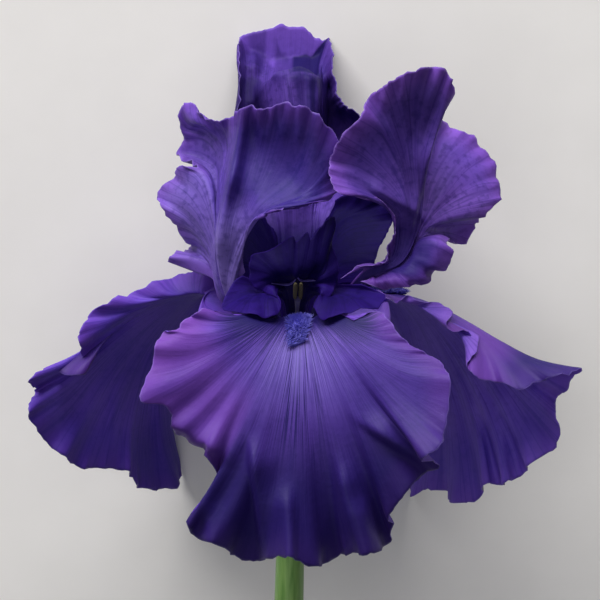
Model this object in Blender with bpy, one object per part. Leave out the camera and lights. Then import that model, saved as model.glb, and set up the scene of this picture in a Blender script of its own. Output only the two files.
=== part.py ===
"""A bearded iris flower, picked and laid on its back with the front fall uppermost.

The petals are described as they are seen from the front. A ruler reading (across, up, toward) is
in millimetres from the flower's heart: across to the right, up along the flower, and toward the
eye. Organs that repeat round the flower are described by azimuth, side, out and height instead:
out from the flower's axis and height along it, with azimuth 0 towards the eye.
"""

import math
import random

import bmesh
import bpy
import numpy as np
from mathutils import Vector

# Millimetres to metres
MM = 0.001

# The eye that the ruler readings are taken from, and how far above the flower's level it looks
EYE_DISTANCE = 900.0
VIEW_LIFT = math.radians(12.0)

# The surface that the flower lies on: its lean, its depth behind the heart, and the part's origin
LEAN = math.radians(7.5)
FLOOR_DEPTH = 59.2
PLACE_ACROSS = -1.8
PLACE_UP = 23.7

# Tissue thicknesses
PETAL_THICK = 0.7
STYLE_THICK = 0.8
BRACT_THICK = 0.6

# What comes this close to the surface lies flat on it
REST_BAND = 0.3

# The rim of the perianth tube, on which all petals and organs are seated
RIM_HEIGHT = -14.0
SEAT_GAP = 0.3
AXIS_ACROSS = -0.4
STEM_DRIFT = 0.026

# The falls' claw: where it leaves the rim, and its waist, where the blade begins
FALL_RIM_OUT = 6.3
FALL_RIM_HALF = 2.6
FALL_WAIST_OUT = 22.0
FALL_WAIST_HEIGHT = -2.0
FALL_WAIST_HALF = 8.5
FALL_WAIST_TROUGH = 4.0

# How a fall's veins leave the waist and come down to the margin, as shares of their length
FALL_RISE_OUT = 0.30
FALL_RISE_HEIGHT = 0.09
FALL_HANG = 0.45
FALL_SWELL_OUT = 0.22
FALL_SWELL_HEIGHT = 0.06

# The middle of a fall follows a smoothed margin: the margin's lobes fade inward, its waves sooner
LOBE_SMOOTHING = 36
LOBE_FADE = 3.2
WAVE_FADE = 6.0

# The standards' claw on the rim
STANDARD_RIM_OUT = 6.0
STANDARD_RIM_HALF = 2.4

FALL_AZIMUTHS = {"fall_front": 2.0, "fall_left": -120.0, "fall_right": 120.0}
STANDARD_AZIMUTHS = {"standard_left": -60.0, "standard_right": 60.0, "standard_back": 180.0}

# Each petal's columns of faces from side to side, and rows of faces from claw to margin
PETAL_GRIDS = {
    "fall_front": (44, 9), "fall_left": (36, 8), "fall_right": (42, 8),
    "standard_left": (42, 9), "standard_right": (48, 9), "standard_back": (28, 13),
}
STYLE_FRONT_GRID = (42, 6)
STYLE_REAR_GRID = (22, 6)

# The falls' margins, from one shoulder round the blade to the other
FALL_MARGINS = {
    "fall_front": (
        (-19, -5.7, 33.2), (-28, -2.2, 36.5), (-31, -4.6, 37.5), (-33, -5, 38),
        (-36.8, -9, 40), (-40.5, -9.4, 40.5), (-42.2, -13, 42), (-44, -20, 43), (-47, -30, 49),
        (-40, -31.5, 44), (-38, -35, 39), (-36.5, -40.5, 40), (-31, -42.5, 36), (-27.5, -47, 40),
        (-24, -53, 35), (-26.5, -59, 36.5), (-33, -66, 38), (-31, -71, 34), (-24, -73.5, 36),
        (-18, -77.5, 26), (-12, -78.5, 25), (-7, -77, 31), (-2, -77.3, 38), (5, -80.3, 36),
        (9, -79, 28), (14, -76.3, 26), (20, -76.3, 34), (25, -75, 31), (28.5, -72, 26),
        (28, -64.5, 37), (32, -59, 40), (36, -54, 39), (43, -49.5, 36), (38, -48, 48),
        (43, -44, 51), (45, -37, 48), (46.3, -24, 46), (44, -19.5, 43), (40, -16.5, 41),
        (36, -14.5, 40), (32, -11.5, 38.5), (28, -6.4, 37), (24.5, -3.2, 34.6), (17, -6.2, 33.5),
    ),
    "fall_left": (
        (-22, 3, -24), (-24, 3, -36), (-25, -1, -46), (-28, -8, -54), (-34, -20, -60),
        (-40, -33, -65), (-37, -45, -67), (-34.5, -53, -67), (-37, -56.5, -62), (-43, -57, -56),
        (-48, -56, -46), (-50, -52, -37), (-54, -50.7, -34), (-60, -51, -26), (-66, -50, -21),
        (-70, -47, -12), (-75, -43, -9), (-80, -36, -1), (-80.7, -32, 1), (-78.5, -27, -5),
        (-80.5, -24.5, 4), (-77, -21.2, 0), (-73, -21.3, -5), (-69, -22.6, -3), (-63, -22.3, -4),
        (-62.2, -20.5, -8), (-64.5, -17, -5), (-65.5, -11, 1), (-63, -5.5, -3), (-58, -1.3, -2),
        (-52, 1.3, -7), (-45, 4.3, -8), (-38, 7.5, -10), (-32, 8.5, -10), (-27, 7.5, -8), (-22, 4, -4),
        (-19, 0, -1), (-19.5, -7, 1), (-30, -7, 6),
    ),
    "fall_right": (
        (28, -7, 6), (13, -7, 1), (12, -1.5, -1), (20, 1, -2), (25, 0.5, 0), (29, 0, 0),
        (33, 0.5, -3), (37, 0, -4), (42, -0.8, -7), (47, -3, -5),
        (45, -7.5, 1), (50, -10, 0), (54.5, -10.7, -3), (54, -15, 3), (51.5, -20.5, 5),
        (54, -23.5, 7), (60, -24.5, 5), (67, -26.5, 10), (72, -24.5, 7), (79, -23, 9),
        (85.5, -20.7, 6), (82.5, -24, 3), (81, -27, 2), (78, -30, -3), (77.5, -33, -1),
        (79, -39, -2), (77, -45, -8), (70, -49, -12), (68.5, -52, -20), (63, -54.8, -19),
        (61, -55.6, -29), (57, -55, -26), (54.5, -59.5, -38), (50, -61, -38), (45.5, -60.3, -46),
        (44, -57.3, -52), (38, -57, -56), (34, -59, -67), (33, -50, -68), (36, -36, -65),
        (33, -20, -60), (28, -8, -54), (25, -2, -46), (24, 3, -36), (22, 3, -24),
    ),
}

# Folds as they are seen in the petals: from, to, reach, height, and sharpness of their one edge
FOLDS = {
    "fall_front": (
        ((-9, -82), (-13, -49), 7.0, 4.4, 0.6), ((-1.5, -60), (-0.5, -82), 5.5, 4.0, 1.4),
        ((14.5, -82), (12, -54), 6.0, 3.6, 1.0), ((21, -62), (24, -78), 5.0, 3.0, 1.2),
        ((41, -50.5), (25, -40), 7.0, 4.2, 0.7), ((-27, -42), (-43, -32.5), 6.0, 3.4, 0.8),
        ((-35, -10), (-24, -8), 5.0, 1.6, 1.2), ((-25, -78), (-27, -62), 4.0, 2.0, 1.4),
    ),
    "fall_left": (
        ((-43, -58), (-46, -20), 5.0, 2.6, 1.4), ((-58, -52), (-57, -28), 5.0, 2.0, 1.6),
        ((-66, -20), (-50, -6), 5.0, 2.0, 1.0),
    ),
    "fall_right": (
        ((54.5, -62), (55, -34), 4.0, 2.2, 1.2), ((61, -58), (61, -32), 4.0, 2.2, 1.2),
        ((69, -53), (68.5, -30), 4.0, 2.2, 1.2), ((45, -60), (44, -30), 5.0, 2.2, 1.6),
    ),
    "standard_left": (
        ((-24, 18), (-20.5, 35), 5.0, 3.0, 0.6), ((-20.5, 35), (-17.5, 58), 5.0, 3.0, 0.6),
        ((-11, 49), (-12, 60), 3.0, 1.3, 0.5), ((-5, 50), (-6, 61), 3.0, 1.3, 0.5),
        ((0, 49), (0.5, 61), 3.0, 1.3, 0.5),
    ),
    "standard_right": (
        ((47.5, 65), (39.3, 41.5), 6.0, 3.6, 0.5), ((39.3, 41.5), (35, 25), 5.0, 3.0, 0.5),
        ((35.5, 24.5), (24, 30.5), 4.0, 2.4, 0.6), ((24.5, 58), (26, 66), 3.0, 1.4, 0.5),
        ((29.5, 59), (31, 69), 3.0, 1.4, 0.5), ((34, 60), (36, 72), 3.0, 1.4, 0.5),
        ((38, 60), (41, 72), 3.0, 1.4, 0.5),
    ),
    "standard_back": (
        ((-8, 50), (-4, 66), 3.6, 1.8, 0.7), ((3.5, 50), (3, 68), 3.6, 1.8, 0.7),
        ((9, 48), (10.5, 62), 3.6, 1.8, 0.7),
    ),
}

# The middle of each standard's waist, and the reach from there to its second edge
STANDARD_WAISTS = {
    "standard_left": ((-21, 1, 11), (2.5, 0.5, 3.5)),
    "standard_right": ((21, 6.5, 17), (1.0, -2.6, -1.0)),
    "standard_back": ((0, 5, -22), (-11.0, 0.0, 0.0)),
}

# The standards' veins, from one side round to the other, each from past the waist to the margin
STANDARD_VEINS = {
    "standard_left": (
        ((-25, 6, 6), (-31, 8.5, 2), (-38.8, 11.5, -2)),
        ((-25.5, 9, 6), (-31, 12.5, 3), (-38, 13.5, 0)),
        ((-26, 11, 7), (-30, 14.5, -2), (-32, 15.5, -9)),
        ((-26, 13, 8), (-30, 18, 4), (-35, 19.5, 0)),
        ((-26, 15, 9), (-32, 23, 6), (-40.8, 28.5, 1)),
        ((-26, 17, 10), (-32, 27, 8), (-41.8, 32.3, -3)),
        ((-25.5, 20, 11.5), (-31, 31, 9), (-38, 36, 0)),
        ((-25, 23, 13), (-29, 36, 10), (-35.5, 40.3, 4)),
        ((-24.5, 25, 13.5), (-26, 37, 9), (-29.5, 40.2, 8)),
        ((-24, 27, 13.5), (-24, 38, 3), (-29, 42, -5), (-36.2, 43.5, -8)),
        ((-23.7, 29, 13.5), (-23.5, 42, 3), (-28, 48, -4), (-34, 49, -8)),
        ((-23.4, 31, 14), (-22.7, 44, 4), (-27.5, 51, -2), (-33, 52.3, -5), (-35.8, 55.5, -4)),
        ((-23, 32, 14.5), (-22, 46, 6), (-26.5, 51.5, 2), (-30.5, 53.5, 4), (-32, 59.4, 0)),
        ((-22.8, 33, 15), (-21.2, 47, 8), (-23.5, 52, 9), (-26.5, 53.8, 12)),
        ((-23, 30, 16), (-20.3, 46, 13), (-20, 55, 18)),
        ((-24.2, 20, 17.5), (-21, 35, 19), (-18, 50, 20), (-17.6, 57, 23)),
        ((-23, 20, 20.5), (-19.6, 35, 22), (-16.8, 50, 22.5), (-16.2, 58, 25)),
        ((-20.5, 20, 21), (-16.8, 35, 21.5), (-13.5, 50, 22), (-12.5, 57.5, 28)),
        ((-19, 19, 21), (-14.5, 31, 24), (-10, 46, 23), (-7.5, 58.5, 31)),
        ((-18, 18.5, 21), (-13, 28.5, 26), (-6, 42, 24), (-1.5, 59, 34)),
        ((-17, 18.5, 21.5), (-12, 27.8, 27), (-2, 38, 25), (4, 57.5, 34)),
        ((-16.7, 18.2, 22), (-10, 27.5, 28), (0.5, 35, 27), (8.5, 53.5, 32)),
        ((-16.5, 18, 22), (-9, 27.3, 28.5), (2, 32, 28), (13, 46, 27)),
        ((-16.3, 17.5, 22), (-8.5, 27, 29), (3, 30.3, 29), (13, 34, 24)),
        ((-16.3, 17, 22), (-8.5, 26.8, 29.5), (0, 28.3, 31), (8, 29.8, 28)),
        ((-16.3, 16, 21.5), (-11, 25.3, 28.5), (-2.5, 28.2, 31)),
        ((-16.5, 14, 20.5), (-14.3, 22.5, 26), (-10, 26, 29)),
        ((-17.6, 9, 16), (-16.6, 15, 18.5), (-15.5, 20, 22)),
        ((-18.6, 6, 14.5), (-17.3, 9, 15.2), (-16.2, 12, 16.5)),
        ((-18.8, 4.5, 14), (-17.2, 6.5, 14.3), (-15.5, 8.3, 15)),
    ),
    "standard_right": (
        ((20, 9.5, 18), (17, 9, 20), (13, 6.3, 23)),
        ((23, 10, 18), (22, 10.3, 20), (18, 9.3, 22)),
        ((25.5, 11, 18), (25.3, 11.3, 20), (23.5, 11.3, 21)),
        ((27, 12, 17.5), (27.2, 12.5, 20), (26.8, 12.8, 21)),
        ((27.8, 12.2, 17), (28.6, 16.5, 18.5), (28.5, 19, 21)),
        ((28.2, 12, 17), (29.3, 18.5, 18.5), (28.9, 24.5, 21)),
        ((28.6, 12, 17), (30, 19, 18), (29.6, 24.5, 20.5), (25, 29.8, 27)),
        ((29, 12, 17), (30.7, 19.3, 17.5), (30, 25.5, 21), (20, 31.2, 30), (13, 31.8, 31)),
        ((29.3, 11.9, 17), (31.4, 19.6, 17.5), (30.4, 27, 22), (18, 34, 28), (9.8, 37, 30)),
        ((29.6, 11.9, 17), (32.1, 19.9, 17.5), (30.9, 29, 22.5), (19, 39, 27), (9.7, 41.5, 29)),
        ((29.8, 11.8, 17), (32.7, 20.2, 17.5), (31.4, 31.5, 23), (21, 44, 28), (13, 49, 33)),
        ((30, 11.8, 17), (33.3, 20.5, 17.5), (31.9, 34, 23), (25, 49, 28), (18.5, 54.3, 34)),
        ((30.2, 11.7, 17), (33.9, 20.8, 17.5), (32.5, 37, 23), (27, 52, 30), (21.2, 60.5, 31)),
        ((30.4, 11.7, 17), (34.4, 21.1, 17.5), (33.2, 40, 23), (29, 55, 30), (25.5, 64, 35)),
        ((30.6, 11.6, 17), (34.9, 21.4, 17.5), (34, 43, 23), (32, 57.5, 31), (29.5, 66.5, 37)),
        ((30.8, 11.6, 17), (35.3, 21.7, 17.5), (35, 45, 23), (34.5, 60, 31), (35, 69, 38)),
        ((31, 11.5, 17), (35.7, 21.9, 17.3), (36.2, 45.5, 23), (38, 60, 31), (41, 70, 34)),
        ((31.2, 11.5, 17), (36.1, 22.1, 17), (37.4, 44.5, 22), (41.5, 58, 27), (45, 68.5, 30)),
        ((31.4, 11.4, 17), (36.5, 22.3, 17.2), (39.3, 41.5, 21.5), (43.4, 54.5, 25), (47, 63.5, 27)),
        ((31.6, 11.4, 16), (35.8, 22.7, 13.6), (35.2, 41, 12.5), (38, 51, 11), (42, 58, 9)),
        ((31.8, 11.3, 15.5), (36.4, 22.8, 12), (36.8, 38.5, 5.5), (38.8, 47.5, 0), (42.6, 54.2, -5)),
        ((32, 11.3, 15.5), (37.3, 22.8, 12), (40.5, 35.5, 5.5), (45.5, 44.5, -1), (50.5, 50.5, -7)),
        ((32.2, 11.2, 15.5), (37.8, 22.7, 13), (44, 32, 7), (50, 40, 0), (57, 44.5, -8)),
        ((32.4, 11.2, 15.5), (38.2, 22.4, 12.5), (45, 29, 7), (53, 34, 1), (60.7, 36, -7)),
        ((32.6, 11.1, 15.5), (38.6, 22, 12.5), (46, 26.5, 8), (54, 29, 3), (61, 30.5, -5)),
        ((32.8, 11, 15.5), (38.8, 21.5, 12.5), (45, 24, 9), (51, 25, 5), (56.5, 25.6, 0)),
        ((32.9, 11, 15.5), (38.8, 20.8, 12), (43, 22, 3), (48, 22.5, -3), (53.5, 22.5, -7)),
        ((33, 10.9, 15.5), (38.4, 19.8, 12), (42.5, 20, 2), (47, 19, -4), (51, 17, -7)),
        ((33, 10.8, 16), (37.6, 18.8, 14), (41.5, 18.8, 6), (45, 18, 1), (47, 17, -2)),
        ((33, 10.7, 17), (36.5, 17.8, 17), (39.5, 19, 18), (42.5, 19.3, 18), (45.3, 17.8, 16)),
        ((33, 10.6, 17.5), (35.8, 15.5, 18.5), (39, 16.5, 20), (42.5, 16, 21), (46.4, 14, 18)),
        ((32.5, 10.4, 18), (35, 13, 19), (38, 12.5, 20.5), (41, 11, 21), (45, 9.8, 17)),
        ((31.5, 10, 18), (34, 10.5, 20), (38, 8.3, 20.5), (41, 7.5, 16)),
        ((29.5, 9, 18), (33, 7.8, 21), (36, 6, 21), (38.3, 4.8, 18)),
        ((27, 8, 18), (29, 6, 21.5), (31, 3.6, 21)),
        ((23.5, 7, 17.5), (24.5, 5.5, 20.5), (26, 3, 20)),
        ((22, 6.5, 17), (21, 6, 20), (19, 5.6, 21)),
    ),
    "standard_back": (
        ((10, 14, -24), (17, 26, -18), (22, 36, -14)),
        ((9, 18, -25), (17, 34, -24), (24, 46, -16)),
        ((8, 20, -25), (15, 38, -30), (21, 49, -24), (19.5, 54.2, -14)),
        ((7, 22, -26), (12, 42, -36), (15.5, 52, -33), (16, 57.8, -18)),
        ((6, 23, -26), (10, 44, -40), (11.5, 55, -38), (13.8, 58.8, -22)),
        ((5.5, 24, -27), (9, 46, -41), (9.8, 58, -41), (12, 62.3, -30)),
        ((5, 24, -27), (8, 47, -38), (8.7, 59, -38), (9.5, 64, -40), (11.2, 67, -34)),
        ((4.5, 24, -28), (7, 48, -33), (7.6, 59, -30), (8.2, 67.5, -38), (10.6, 72.5, -38)),
        ((3.8, 24, -28), (6, 50, -26), (6.6, 60, -25), (7, 66.5, -31), (7.2, 71, -44), (9.8, 78.3, -49)),
        ((2.5, 24, -28), (4.6, 50, -23), (4.8, 67.4, -27), (4.9, 66.4, -37), (5.2, 74, -50.4),
         (5.8, 78.5, -50.4)),
        ((1, 24, -28), (2, 50, -21), (1, 69.5, -26), (1.2, 68, -36), (1.5, 74.5, -50.6),
         (2, 82, -50.6)),
        ((0, 24, -28), (-0.5, 50, -21), (-2.5, 68.6, -25.5), (-2.6, 67.3, -36), (-2.5, 74, -50.6),
         (-2.2, 82, -50.6)),
        ((-2, 24, -28), (-4, 50, -23), (-6, 67.5, -27), (-5.7, 66.5, -37), (-5, 73.5, -50.6),
         (-4.5, 83, -50.6)),
        ((-4, 24, -27), (-7, 48, -27), (-9, 64, -30), (-9, 65.5, -39), (-8, 73.5, -50.6), (-7, 82, -50.6)),
        ((-5, 23, -27), (-9, 47, -31), (-11, 60, -33), (-11, 67, -42), (-10.5, 75, -50.6),
         (-10, 81, -50.6)),
        ((-6, 22, -26), (-11, 46, -34), (-13, 60, -37), (-13, 70, -42), (-13, 75.5, -50.4),
         (-13.7, 80.3, -50.4)),
        ((-8, 20, -25), (-14, 42, -32), (-16, 58, -35), (-15.5, 69, -41), (-16, 75, -46), (-17, 79, -48)),
        ((-9, 18, -25), (-16, 38, -28), (-18, 55, -29), (-17, 65, -33), (-18, 73, -34), (-17.5, 76, -38)),
        ((-9, 18, -25), (-16, 37, -26), (-18, 50, -26), (-17.3, 62, -26), (-17.4, 71.3, -27)),
        ((-9, 16, -24), (-17, 32, -22), (-20, 46, -22), (-17.6, 58, -16)),
        ((-9, 14, -24), (-17, 26, -18), (-22, 38, -13)),
    ),
}

# The petals' frill: the reach of its teeth and waves, and the waves' share one row in
FRILL_TOOTH = 0.6
FRILL_WAVE = 0.6
FRILL_FADE = 0.3

# The style arms stand on the rim's middle, each on a narrow foot
STYLE_FOOT_HALF = 1.6
STYLE_FOOT_OUT = 2.4
STYLE_FOOT_HEIGHT = -13.6

# The front style arm as (side, out, height): one wing, the crests over the lip, the other wing
STYLE_FRONT_VEINS = (
    ((-3, 8, 1), (-9, 13.5, 7.2), (-15.5, 18, 11.2)),
    ((-3.5, 9.5, 2), (-11, 16, 7.2), (-18.5, 20.5, 9.4)),
    ((-4, 11, 3.2), (-13, 20.5, 6.4), (-21.4, 27, 4.2)),
    ((-4, 12, 4.2), (-12.5, 22.5, 6.2), (-19.4, 31.5, 3.4)),
    ((-4, 13, 5), (-12, 24.5, 6.2), (-14.5, 33, 3.2)),
    ((-4, 14, 5.6), (-9, 25.5, 6.2), (-9.5, 33, 2)),
    ((-3.8, 14.8, 6.2), (-6.5, 25, 6.4), (-5.6, 31, 2)),
    ((-3.6, 15.5, 6.6), (-5.5, 24.5, 7.2), (-4.4, 29, 3.8)),
    ((-3.5, 16, 7), (-6, 23.5, 8), (-4.4, 27, 5.8)),
    ((-3.4, 16.3, 7.4), (-7.5, 23, 8.9), (-8, 24.3, 6.8)),
    ((-3.2, 16.6, 7.8), (-8, 22.5, 10), (-11, 22, 7.8)),
    ((-3, 17, 8), (-7.5, 23, 11.5), (-13.3, 20.5, 9.3)),
    ((-2.8, 17.3, 8.3), (-7, 23.5, 12.5), (-13.5, 20.5, 13.6)),
    ((-2.5, 17.6, 8.5), (-6, 24, 13.2), (-13, 20, 17.9)),
    ((-2, 17.8, 8.6), (-4.5, 24.3, 13.8), (-9, 20.5, 18.7)),
    ((-1.5, 18, 8.7), (-3, 24.5, 14), (-5, 21, 21.1)),
    ((-0.8, 18.3, 8.7), (-1.2, 24.6, 13.8), (-1, 22, 23.7)),
    ((0, 18.5, 8.7), (0.3, 25, 13), (0.4, 22.5, 22.2)),
    ((0.6, 18.3, 8.7), (1.5, 24.6, 13.8), (3.5, 21.5, 25)),
    ((1, 18.3, 8.7), (2.5, 24.4, 14), (4.3, 21.5, 23)),
    ((1.8, 18, 8.7), (4.5, 24, 14.2), (7, 20, 25.7)),
    ((2.4, 17.8, 8.6), (6.5, 23, 15), (11, 17, 28.7)),
    ((2.8, 17.5, 8.4), (7.5, 22.5, 14), (11.3, 17.5, 25.2)),
    ((3, 17.2, 8.2), (8, 22.5, 12.5), (11, 18.5, 20.3)),
    ((3.2, 17, 8), (8, 22.5, 11.5), (12.5, 20, 14)),
    ((3.4, 16.6, 7.8), (8, 22.5, 10), (12.3, 21, 9.6)),
    ((3.6, 16, 7.2), (8, 23.5, 8.6), (10.3, 24, 6.4)),
    ((3.8, 15.5, 6.6), (7.5, 24.5, 7.8), (6.8, 26.5, 5)),
    ((4, 15, 6), (7.5, 25.5, 6.8), (5.6, 29.5, 3.4)),
    ((4, 14.5, 5.6), (8.3, 26, 6.2), (7.2, 33, 1.8)),
    ((4, 14, 5.2), (10.5, 25, 6), (9.8, 33.5, 1.9)),
    ((4, 13.3, 4.8), (12.5, 24, 6), (12.7, 32.5, 2.6)),
    ((4, 12.5, 4.2), (14.5, 23, 5.8), (17.6, 31.5, 3.3)),
    ((4, 11.5, 3.2), (15.5, 21, 6.4), (24.5, 28.5, 4.4)),
    ((3.8, 10, 2.2), (13, 17, 7), (26, 23.5, 6.6)),
    ((3, 8, 1), (10, 14.5, 7.2), (19, 21, 9.2)),
)

# Where the front style arm's middle passes between its foot and the veins above
STYLE_FRONT_NECK = (6.5, -4.5)

# The rear right style arm as ruler readings; the rear left one mirrors it
STYLE_REAR_VEINS = (
    ((6, 1, -4), (13, 4.5, -1), (21, 4.5, 3)),
    ((6, 3, -4.5), (14, 11, -2), (23.3, 11, 1)),
    ((6, 5, -5), (15, 15, -4), (25, 16.5, -1)),
    ((6, 7, -6), (15, 18, -6), (27, 20, -3)),
    ((6, 8, -7), (14.5, 20.5, -8), (28.6, 23.7, -5)),
    ((6, 9, -8), (13.5, 22.5, -10), (21, 26, -9), (28, 28.3, -5)),
    ((5.5, 10, -9), (12, 23.5, -12), (18, 28, -11), (21, 31.5, -8)),
    ((5, 10, -10), (9.5, 23, -13), (12.5, 28, -14), (13, 31, -13)),
    ((4, 9, -11), (7, 19, -14), (8.5, 23, -16), (9.3, 25, -17)),
    ((3.5, 7, -11), (5, 14, -14), (5, 18.5, -17)),
    ((3.5, 4, -10), (7, 11, -15), (8.5, 13, -19)),
    ((4, 1, -9), (11, 7, -15), (17, 8, -19)),
)

# The ovary with the perianth tube, as (height, radius) pairs from the stem up to the rim
OVARY_PROFILE = (
    (-60.0, 4.2), (-57.0, 5.2), (-50.0, 6.0), (-43.0, 5.6), (-37.0, 4.2),
    (-33.0, 3.6), (-26.0, 3.8), (-20.0, 5.0), (-16.0, 6.6), (-14.0, 7.4),
)
OVARY_MIDDLE = -50.0
OVARY_REACH = 12.0
OVARY_RIBS = 6
OVARY_RIB_DEPTH = 0.06
OVARY_SIDES = 18

STEM_TOP = -60.3
STEM_END = -128.0
STEM_RADIUS = 4.3
STEM_END_RADIUS = 4.7
STEM_SIDES = 14
STEM_LENGTHS = 5

# Each bract: azimuth, base and tip heights, half-angle of its wrap, distance from the axis
BRACTS = {
    "spathe_outer": (35.0, -70.0, -30.0, 105.0, 8.3),
    "spathe_inner": (200.0, -64.0, -27.0, 95.0, 7.2),
}
BRACT_ROWS = 8
BRACT_COLUMNS = 8
BRACT_TIP_ANGLE = 4.0
BRACT_TAPER = 2.2

# The beard: a low ridge along the fall's midrib, and its hairs
BEARD_START = 0.17
BEARD_END = 0.36
BEARD_ROWS = 7
BEARD_HALF_WIDTH = 3.8
BEARD_RISE = 2.0
BEARD_SIDES = 6
BEARD_HAIRS = 30
BEARD_SEED = 7
HAIR_LENGTH = 3.0
HAIR_RADIUS = 0.42
HAIR_SINK = 0.5
HAIR_SPREAD = 0.45

# The stamen's filament and anther, as (out, height, radius) along its length
STAMEN_PATH = (
    (4.2, -13.1, 0.9), (7.5, -7.5, 0.9), (11.5, -1.5, 0.8), (15.5, 2.8, 0.7),
    (16.5, 3.8, 1.2), (20.0, 6.9, 1.5), (24.0, 9.6, 1.2), (25.2, 10.3, 0.6),
)
STAMEN_SIDES = 8


def clear_scene():
    for obj in list(bpy.data.objects):
        bpy.data.objects.remove(obj)


def material(name, colour, roughness):
    """A Principled material with a plain colour."""
    made = bpy.data.materials.new(name)
    made.use_nodes = True
    shader = made.node_tree.nodes["Principled BSDF"]
    shader.inputs["Base Color"].default_value = (*colour, 1.0)
    shader.inputs["Roughness"].default_value = roughness
    shader.inputs["Metallic"].default_value = 0.0
    return made


def seen(readings):
    """Turns ruler readings at the heart into points on their sight lines."""
    readings = np.asarray(readings, float)
    spread = 1.0 - readings[..., 2:] / EYE_DISTANCE
    return np.concatenate([readings[..., :2] * spread, readings[..., 2:]], axis=-1)


def flower_vector(azimuth, side, out, height):
    """A direction given round the flower's axis, as the eye's axes see it."""
    turn = math.radians(azimuth)
    across = out * math.sin(turn) + side * math.cos(turn)
    level = out * math.cos(turn) - side * math.sin(turn)
    up = height * math.cos(VIEW_LIFT) - level * math.sin(VIEW_LIFT)
    toward = level * math.cos(VIEW_LIFT) + height * math.sin(VIEW_LIFT)
    return np.array((across, up, toward))


def flower_point(azimuth, side, out, height):
    drift = AXIS_ACROSS + STEM_DRIFT * min(0.0, height - RIM_HEIGHT)
    return flower_vector(azimuth, side, out, height) + np.array((drift, 0.0, 0.0))


def laid(points):
    """Lays points of the eye's axes on the surface, in metres, with the surface at height 0."""
    points = np.asarray(points, float)
    across, up, toward = points[..., 0], points[..., 1], points[..., 2]
    back = up * math.cos(LEAN) + toward * math.sin(LEAN)
    height = toward * math.cos(LEAN) - up * math.sin(LEAN)
    places = [across + PLACE_ACROSS, back + PLACE_UP, height + FLOOR_DEPTH]
    return np.stack(places, axis=-1) * MM


def hermite(values, knots, places):
    """Reads a smooth curve through the values, which stand at the knots, at the places."""
    steps = np.diff(knots)[:, None]
    slopes = np.diff(values, axis=0) / steps
    inner = (slopes[:-1] * steps[1:] + slopes[1:] * steps[:-1]) / (steps[:-1] + steps[1:])
    tangents = np.concatenate([slopes[:1], inner, slopes[-1:]])
    span = np.clip(np.searchsorted(knots, places, side="right") - 1, 0, len(knots) - 2)
    step = steps[span]
    share = (places - knots[span])[:, None] / step
    start, end = values[span], values[span + 1]
    leave, arrive = tangents[span] * step, tangents[span + 1] * step
    ease = share * share * (3 - 2 * share)
    bend = leave * share * (1 - share) ** 2 - arrive * share ** 2 * (1 - share)
    return start + (end - start) * ease + bend


def along(points, shares):
    """Reads a smooth curve through the points at the given shares of its length."""
    points = np.asarray(points, float)
    gaps = np.linalg.norm(np.diff(points, axis=0), axis=1)
    knots = np.concatenate([[0.0], np.cumsum(gaps ** 0.5)])
    curve = hermite(points, knots, np.linspace(0.0, knots[-1], 24 * len(points)))
    run = np.concatenate([[0.0], np.cumsum(np.linalg.norm(np.diff(curve, axis=0), axis=1))])
    places = np.asarray(shares) * run[-1]
    return np.stack([np.interp(places, run, curve[:, k]) for k in range(3)], axis=-1)


def blade(veins, shares, columns):
    """A grid of points, rows by columns, on the sheet that the veins carry."""
    lines = np.stack([along(vein, shares) for vein in veins])
    knots = np.arange(len(veins), dtype=float)
    places = np.linspace(0.0, knots[-1], columns + 1)
    flat = lines.reshape(len(veins), -1)
    return hermite(flat, knots, places).reshape(columns + 1, len(shares), 3).transpose(1, 0, 2)


def mesh_object(name, mesh, look):
    data = bpy.data.meshes.new(name)
    mesh.to_mesh(data)
    mesh.free()
    data.shade_smooth()
    data.materials.append(look)
    obj = bpy.data.objects.new(name, data)
    bpy.context.scene.collection.objects.link(obj)
    return obj


def replace_by_evaluated(obj):
    """Applies the object's modifiers."""
    graph = bpy.context.evaluated_depsgraph_get()
    data = bpy.data.meshes.new_from_object(obj.evaluated_get(graph), depsgraph=graph)
    obj.modifiers.clear()
    obj.data = data


def sheet_object(name, grid, thickness, look):
    """A closed blade of even thickness on a grid of points, flat where it meets the surface."""
    rows, columns = grid.shape[0] - 1, grid.shape[1] - 1
    mesh = bmesh.new()
    bmesh.ops.create_grid(mesh, x_segments=columns, y_segments=rows, size=1.0)
    for vertex in mesh.verts:
        column = round((vertex.co.x + 1.0) / 2.0 * columns)
        row = round((vertex.co.y + 1.0) / 2.0 * rows)
        vertex.co = Vector(grid[row, column])
    bmesh.ops.triangulate(mesh, faces=mesh.faces[:], quad_method="SHORT_EDGE")
    obj = mesh_object(name, mesh, look)
    wall = obj.modifiers.new("Thickness", "SOLIDIFY")
    wall.thickness = thickness * MM
    wall.offset = 0.0
    replace_by_evaluated(obj)
    for vertex in obj.data.vertices:
        if vertex.co.z < REST_BAND * MM:
            vertex.co.z = 0.0
    return obj


def ring_solid(name, rings, look):
    """A closed solid lofted through rings of points, each ring in order round the axis."""
    mesh = bmesh.new()
    loops = [[mesh.verts.new(point) for point in laid(ring)] for ring in rings]
    for low, high in zip(loops, loops[1:]):
        for k in range(len(low)):
            after = (k + 1) % len(low)
            mesh.faces.new((low[k], low[after], high[after], high[k]))
    mesh.faces.new(list(reversed(loops[0])))
    mesh.faces.new(loops[-1])
    bmesh.ops.recalc_face_normals(mesh, faces=mesh.faces[:])
    return mesh_object(name, mesh, look)


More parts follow.
